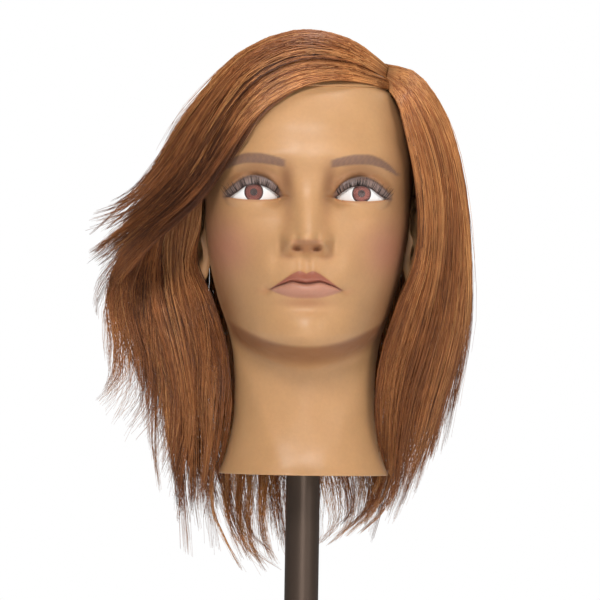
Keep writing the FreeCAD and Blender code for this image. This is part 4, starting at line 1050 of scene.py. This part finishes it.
def makeLashes(name, side, rng):
    # hairs along the upper lid's edge, t from root to tip, in their own lengths: forwards 0.62 t - 0.12 t^2,
    # up 0.20 t + 0.54 t^2, and sideways with their place along the lid
    s = np.sort(rng.uniform(19.5, 51.0, lashes["count"]))
    t = np.linspace(0, 1, hair["rings"])[None, :]
    edge = flow(eyes["upper"], 1, s)
    length = lashes["length"] * (0.72 + 0.28 * ramp(s, 24, 42)) * rng.uniform(0.82, 1.05, len(s))
    lean = lashes["fanOut"] * (s - 32) / 18 + rng.normal(0, 0.07, len(s))
    step = length[:, None]
    x = s[:, None] + step * lean[:, None] * (t + 0.4 * t**2) * 0.8
    y = (ballDepth(s, edge, eyes["lid"]) - 0.1)[:, None] - step * (0.62 * t - 0.12 * t**2)
    h = (edge + 0.1)[:, None] + step * (0.20 * t + 0.54 * t**2)
    points = np.stack([x * side, y, h], -1)
    return strandMesh(name, points, 0 * x, lashes["thick"])


# middle of the ear, its half width and half height in mm, how it stands off the head and leans in degrees
ear = dict(
    across=66.5, depth=16.0, height=153.0, deep=14.5, tall=30.0, splay=24.0, lean=10.0, back=-3.0,
    rows=60, columns=120,
)


def makeEar(name, side):
    # a disc at radius r and angle a: helix rim, groove inside it, antihelix, bowl, tragus and lobe as bumps
    turn = around(ear["columns"])
    r, a = np.meshgrid(np.linspace(0.02, 1, ear["rows"]), turn, indexing="ij")
    p = ear["deep"] * r * np.cos(a) * (0.74 + 0.26 * ramp(np.sin(a), -1.0, 0.3))
    q = ear["tall"] * r * np.sin(a)
    up, back = np.sin(a), np.cos(a)
    w = 4.6 * np.sqrt(np.clip(1 - r**5, 0, 1))
    w += 2.6 * bell(r, 0.88, 0.075) * ramp(up, -0.8, -0.3)
    w -= 2.2 * bell(r, 0.73, 0.07) * ramp(up, -0.45, 0.0) * ramp(back, -0.9, -0.2)
    w += 2.2 * bell(r, 0.55, 0.11) * ramp(back, -0.1, 0.5)
    w -= 6.0 * bump(p, q, -2.0, -3.0, 5.5, 8.5) + 1.8 * bump(p, q, 1.0, 13.0, 3.0, 4.0)
    w += 4.0 * bump(p, q, -9.5, -3.0, 2.6, 4.5) + 1.6 * bump(p, q, -1.5, -23.0, 6.0, 5.0)
    wBack = ear["back"] * np.sqrt(np.clip(1 - r**3, 0, 1))
    flat = np.concatenate([np.stack([p, q, w], -1), np.stack([p, q, wBack], -1)[::-1][1:]]).reshape(-1, 3)
    flat = np.concatenate([flat, [[0, 0, w[0].mean()], [0, 0, ear["back"]]]])
    p, q, w = flat.T
    splay, lean = np.radians(ear["splay"]), np.radians(ear["lean"])
    x, y = w * np.cos(splay) + p * np.sin(splay), p * np.cos(splay) - w * np.sin(splay)
    y, h = y * np.cos(lean) + q * np.sin(lean), q * np.cos(lean) - y * np.sin(lean)
    verts = np.stack([x + ear["across"], y + ear["depth"], h + ear["height"]], -1)
    verts, faces = onSide(verts, closedFaces(2 * ear["rows"] - 1, ear["columns"]), side)
    made = onHead(name, verts, *faces)
    # painted shade: the ear's front darkened towards warmShade in a ring over its groove and bowl
    glow = bell(r, 0.7, 0.3).ravel()
    tint = np.concatenate([glow, np.zeros(len(flat) - len(glow))])[:, None] * 0.3
    paint(made, "paintAndShade", skinColours["skin"] * (1 - tint) + skinColours["warmShade"] * tint)
    return made


irisRadius = (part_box("iris_right")[1].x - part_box("iris_right")[0].x) / 2 / mm


def irisMaterial(name, centre):
    # rings about the middle of the iris: a soft dark edge, brick brown, and fine rays
    made = Nodes(name)
    place = made.add("TexCoord")
    shift = made.add("Mapping")
    shift.inputs["Location"].default_value = (-centre.x, 0, -centre.z)
    shift.inputs["Scale"].default_value = (1, 0, 1)
    made.link(place.outputs["Object"], shift.inputs["Vector"])
    length = made.add("VectorMath", operation="LENGTH")
    made.link(shift.outputs["Vector"], length.inputs[0])
    ring = made.spread(length.outputs["Value"], 0, 1, 0.0, irisRadius * mm)
    bands = made.add("ValToRGB")
    made.link(ring, bands.inputs["Fac"])
    stops = [
        (0.30, (112, 72, 62)), (0.45, (160, 92, 78)), (0.78, (150, 84, 72)), (0.9, (92, 52, 44)),
        (1.0, (56, 36, 32)),
    ]
    while len(bands.color_ramp.elements) < len(stops):
        bands.color_ramp.elements.new(0.5)
    for element, (at, colour) in zip(bands.color_ramp.elements, stops):
        element.position, element.color = at, (*linear(*colour), 1)
    rays = made.shade(bands.outputs["Color"], made.noise(1400, 4), 0.75, 1.25)
    made.feed(rays, "Base Color")
    made.set(Roughness=0.3)
    return made.material


def finish(name, colour, roughness, metallic, mottle, grain=None, stretch=(1, 1, 1), **more):
    # colour with a faint mottling, roughness that wanders with it, and a fine grain where one is given
    made = Nodes(name)
    base = made.add("RGB").outputs["Color"]
    base.default_value = (*linear(*colour), 1)
    scale, low, high = mottle
    wander = made.noise(scale, 4, stretch)
    made.feed(made.shade(base, wander, low, high), "Base Color")
    made.feed(made.spread(wander, roughness - 0.05, roughness + 0.06), "Roughness")
    made.set(Metallic=metallic, **more)
    if grain:
        made.relief(made.noise(grain[0], 3, stretch), *grain[1:])
    return made.material


def dress(material, *names):
    # material on CAD nodes that keep their own mesh
    for name in names:
        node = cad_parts[name]
        if not node.material_slots:
            node.data.materials.append(material)
        for slot in node.material_slots:
            slot.material = material


# Finishes of the holder's CAD nodes: colour, roughness, metallic, mottling (scale, darkest, lightest), grain
# (scale, strength, depth in metres) and how the pattern is stretched along x, y, z.
holderFinishes = dict(
    bronzeTube=((92, 77, 67), 0.36, 0.75, (25, 0.82, 1.15), (500, 0.2, 0.0002), (1, 1, 0.08)),
    hammeredBlack=((44, 44, 46), 0.42, 0.1, (80, 0.8, 1.25), (170, 0.5, 0.0006)),
    zincPlate=((176, 176, 178), 0.33, 1.0, (90, 0.8, 1.15), (600, 0.2, 0.0002)),
    drawnSteel=((168, 168, 170), 0.3, 1.0, (220, 0.8, 1.15), (900, 0.25, 0.0002), (0.05, 1, 1)),
    turnedBrass=((186, 142, 76), 0.3, 1.0, (60, 0.85, 1.1), (800, 0.2, 0.0001), (0.1, 0.1, 1)),
    softRubber=((36, 36, 37), 0.78, 0.0, (50, 0.85, 1.2), (420, 0.5, 0.0004)),
    blackNylon=((30, 30, 32), 0.4, 0.0, (40, 0.9, 1.15), (700, 0.2, 0.0002)),
    whiteNylon=((222, 219, 210), 0.48, 0.0, (40, 0.95, 1.03), (600, 0.2, 0.0002)),
)
holderNodes = dict(
    bronzeTube="post_tube",
    hammeredBlack="clamp_frame post_knuckle lock_lever",
    zincPlate="axle_bolt bolt_washers retaining_washer retaining_screw set_screw pressure_disc",
    drawnSteel="tommy_bar",
    turnedBrass="thread_bush",
    softRubber="jaw_pad disc_pad grip_rings",
    blackNylon="bar_knobs swivel_spigot",
    whiteNylon="swivel_bush socket_sleeve neck_plug",
)
# the spindle's sizes in mm, from its ball down to the head that the bar goes through
screw = dict(
    pitch=3.0, thread=0.9, rodRadius=6.0, ballRadius=5.0, neckRadius=3.6, neckLong=11.0,
    headRadius=9.0, headTall=16.0, round=1.5, columns=48,
)


def makeScrew():
    # turned profile: ball, neck, threaded rod and head; the thread is a rounded zigzag of height and turn
    low, high = (corner.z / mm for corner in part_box("spindle"))
    ballMiddle = high - screw["ballRadius"]
    rodTop, headTop, r = ballMiddle - screw["neckLong"], low + screw["headTall"], screw["round"]
    turn = around(screw["columns"])
    a = np.linspace(0.15, np.pi - np.arcsin(screw["neckRadius"] / screw["ballRadius"]), 14)
    q = np.linspace(0, np.pi / 2, 5)
    rodRows = np.linspace(rodTop - 0.3, headTop, int((rodTop - headTop) / screw["pitch"] * 10))
    profile = [(ballMiddle + screw["ballRadius"] * np.cos(k), screw["ballRadius"] * np.sin(k)) for k in a]
    profile += [(rodTop, screw["neckRadius"])]
    profile += [(z, 0) for z in rodRows]
    profile += [(headTop - r + r * np.cos(k), screw["headRadius"] - r + r * np.sin(k)) for k in q]
    profile += [(low + r - r * np.sin(k), screw["headRadius"] - r + r * np.cos(k)) for k in q]
    z, radius = np.array(profile).T[:, :, None]
    depth = np.abs(((z / screw["pitch"] - turn / fullTurn) % 1) * 2 - 1)
    rod = screw["rodRadius"] - screw["thread"] * np.clip(depth * 1.25 - 0.12, 0, 1)
    rod = rod - 1.2 * (1 - ramp(z, rodTop, rodTop - 2))
    radius = np.where(radius == 0, rod, radius)
    verts = np.stack([radius * np.cos(turn), radius * np.sin(turn), z + 0 * turn], -1).reshape(-1, 3)
    verts = np.concatenate([verts, [[0, 0, high], [0, 0, low]]]) * mm
    return meshFrom("clamp_screw", verts, *closedFaces(len(z), screw["columns"], flip=True))


place(makeScalp(), skinMaterial, "head", "scalp_skin", "scalp_cap")
foamMaterial = finish("paleFoam", (226, 214, 176), 0.9, 0.0, (60, 0.9, 1.05), (500, 0.6, 0.0006))
place(makeFoam(), foamMaterial, "head", "foam", "foam_core")
whiteMaterial = finish("eyeWhite", (252, 251, 249), 0.16, 0.0, (300, 0.98, 1.0), Specular_IOR_Level=0.5)
lashMaterial = finish("lashHair", (34, 26, 26), 0.5, 0.0, (60, 0.9, 1.1))
pupilMaterial = finish("pupilGrey", (92, 74, 70), 0.3, 0.0, (60, 0.9, 1.1))
corneaMaterial = finish("clearLens", (120, 110, 108), 0.08, 0.0, (60, 0.9, 1.1), Alpha=0.05)
lashRng = np.random.default_rng(lashes["seed"])
for name, side in (("left", -1), ("right", 1)):
    place(makeEyeWhite(f"eye_white_{name}", side), whiteMaterial, "head", "eye_white", f"eyeball_{name}")
    place(makeLashes(f"lashes_{name}", side, lashRng), lashMaterial, "head", "lash", f"lash_strip_{name}")
    place(makeEar(f"ear_{name}", side), skinMaterial, "head", "vinyl_skin")
    middle = (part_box(f"iris_{name}")[0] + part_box(f"iris_{name}")[1]) / 2
    dress(irisMaterial(f"iris_{name}", middle), f"iris_{name}")
    dress(pupilMaterial, f"pupil_{name}")
    dress(corneaMaterial, f"cornea_{name}")
print("scalp, foam, eyes, lashes and ears made")
holderMaterials = {name: finish(name, *values) for name, values in holderFinishes.items()}
for name, nodes in holderNodes.items():
    dress(holderMaterials[name], *nodes.split())
place(makeScrew(), holderMaterials["zincPlate"], "spindle", "zinc_steel", "spindle")
print("holder finishes set, clamp screw made")
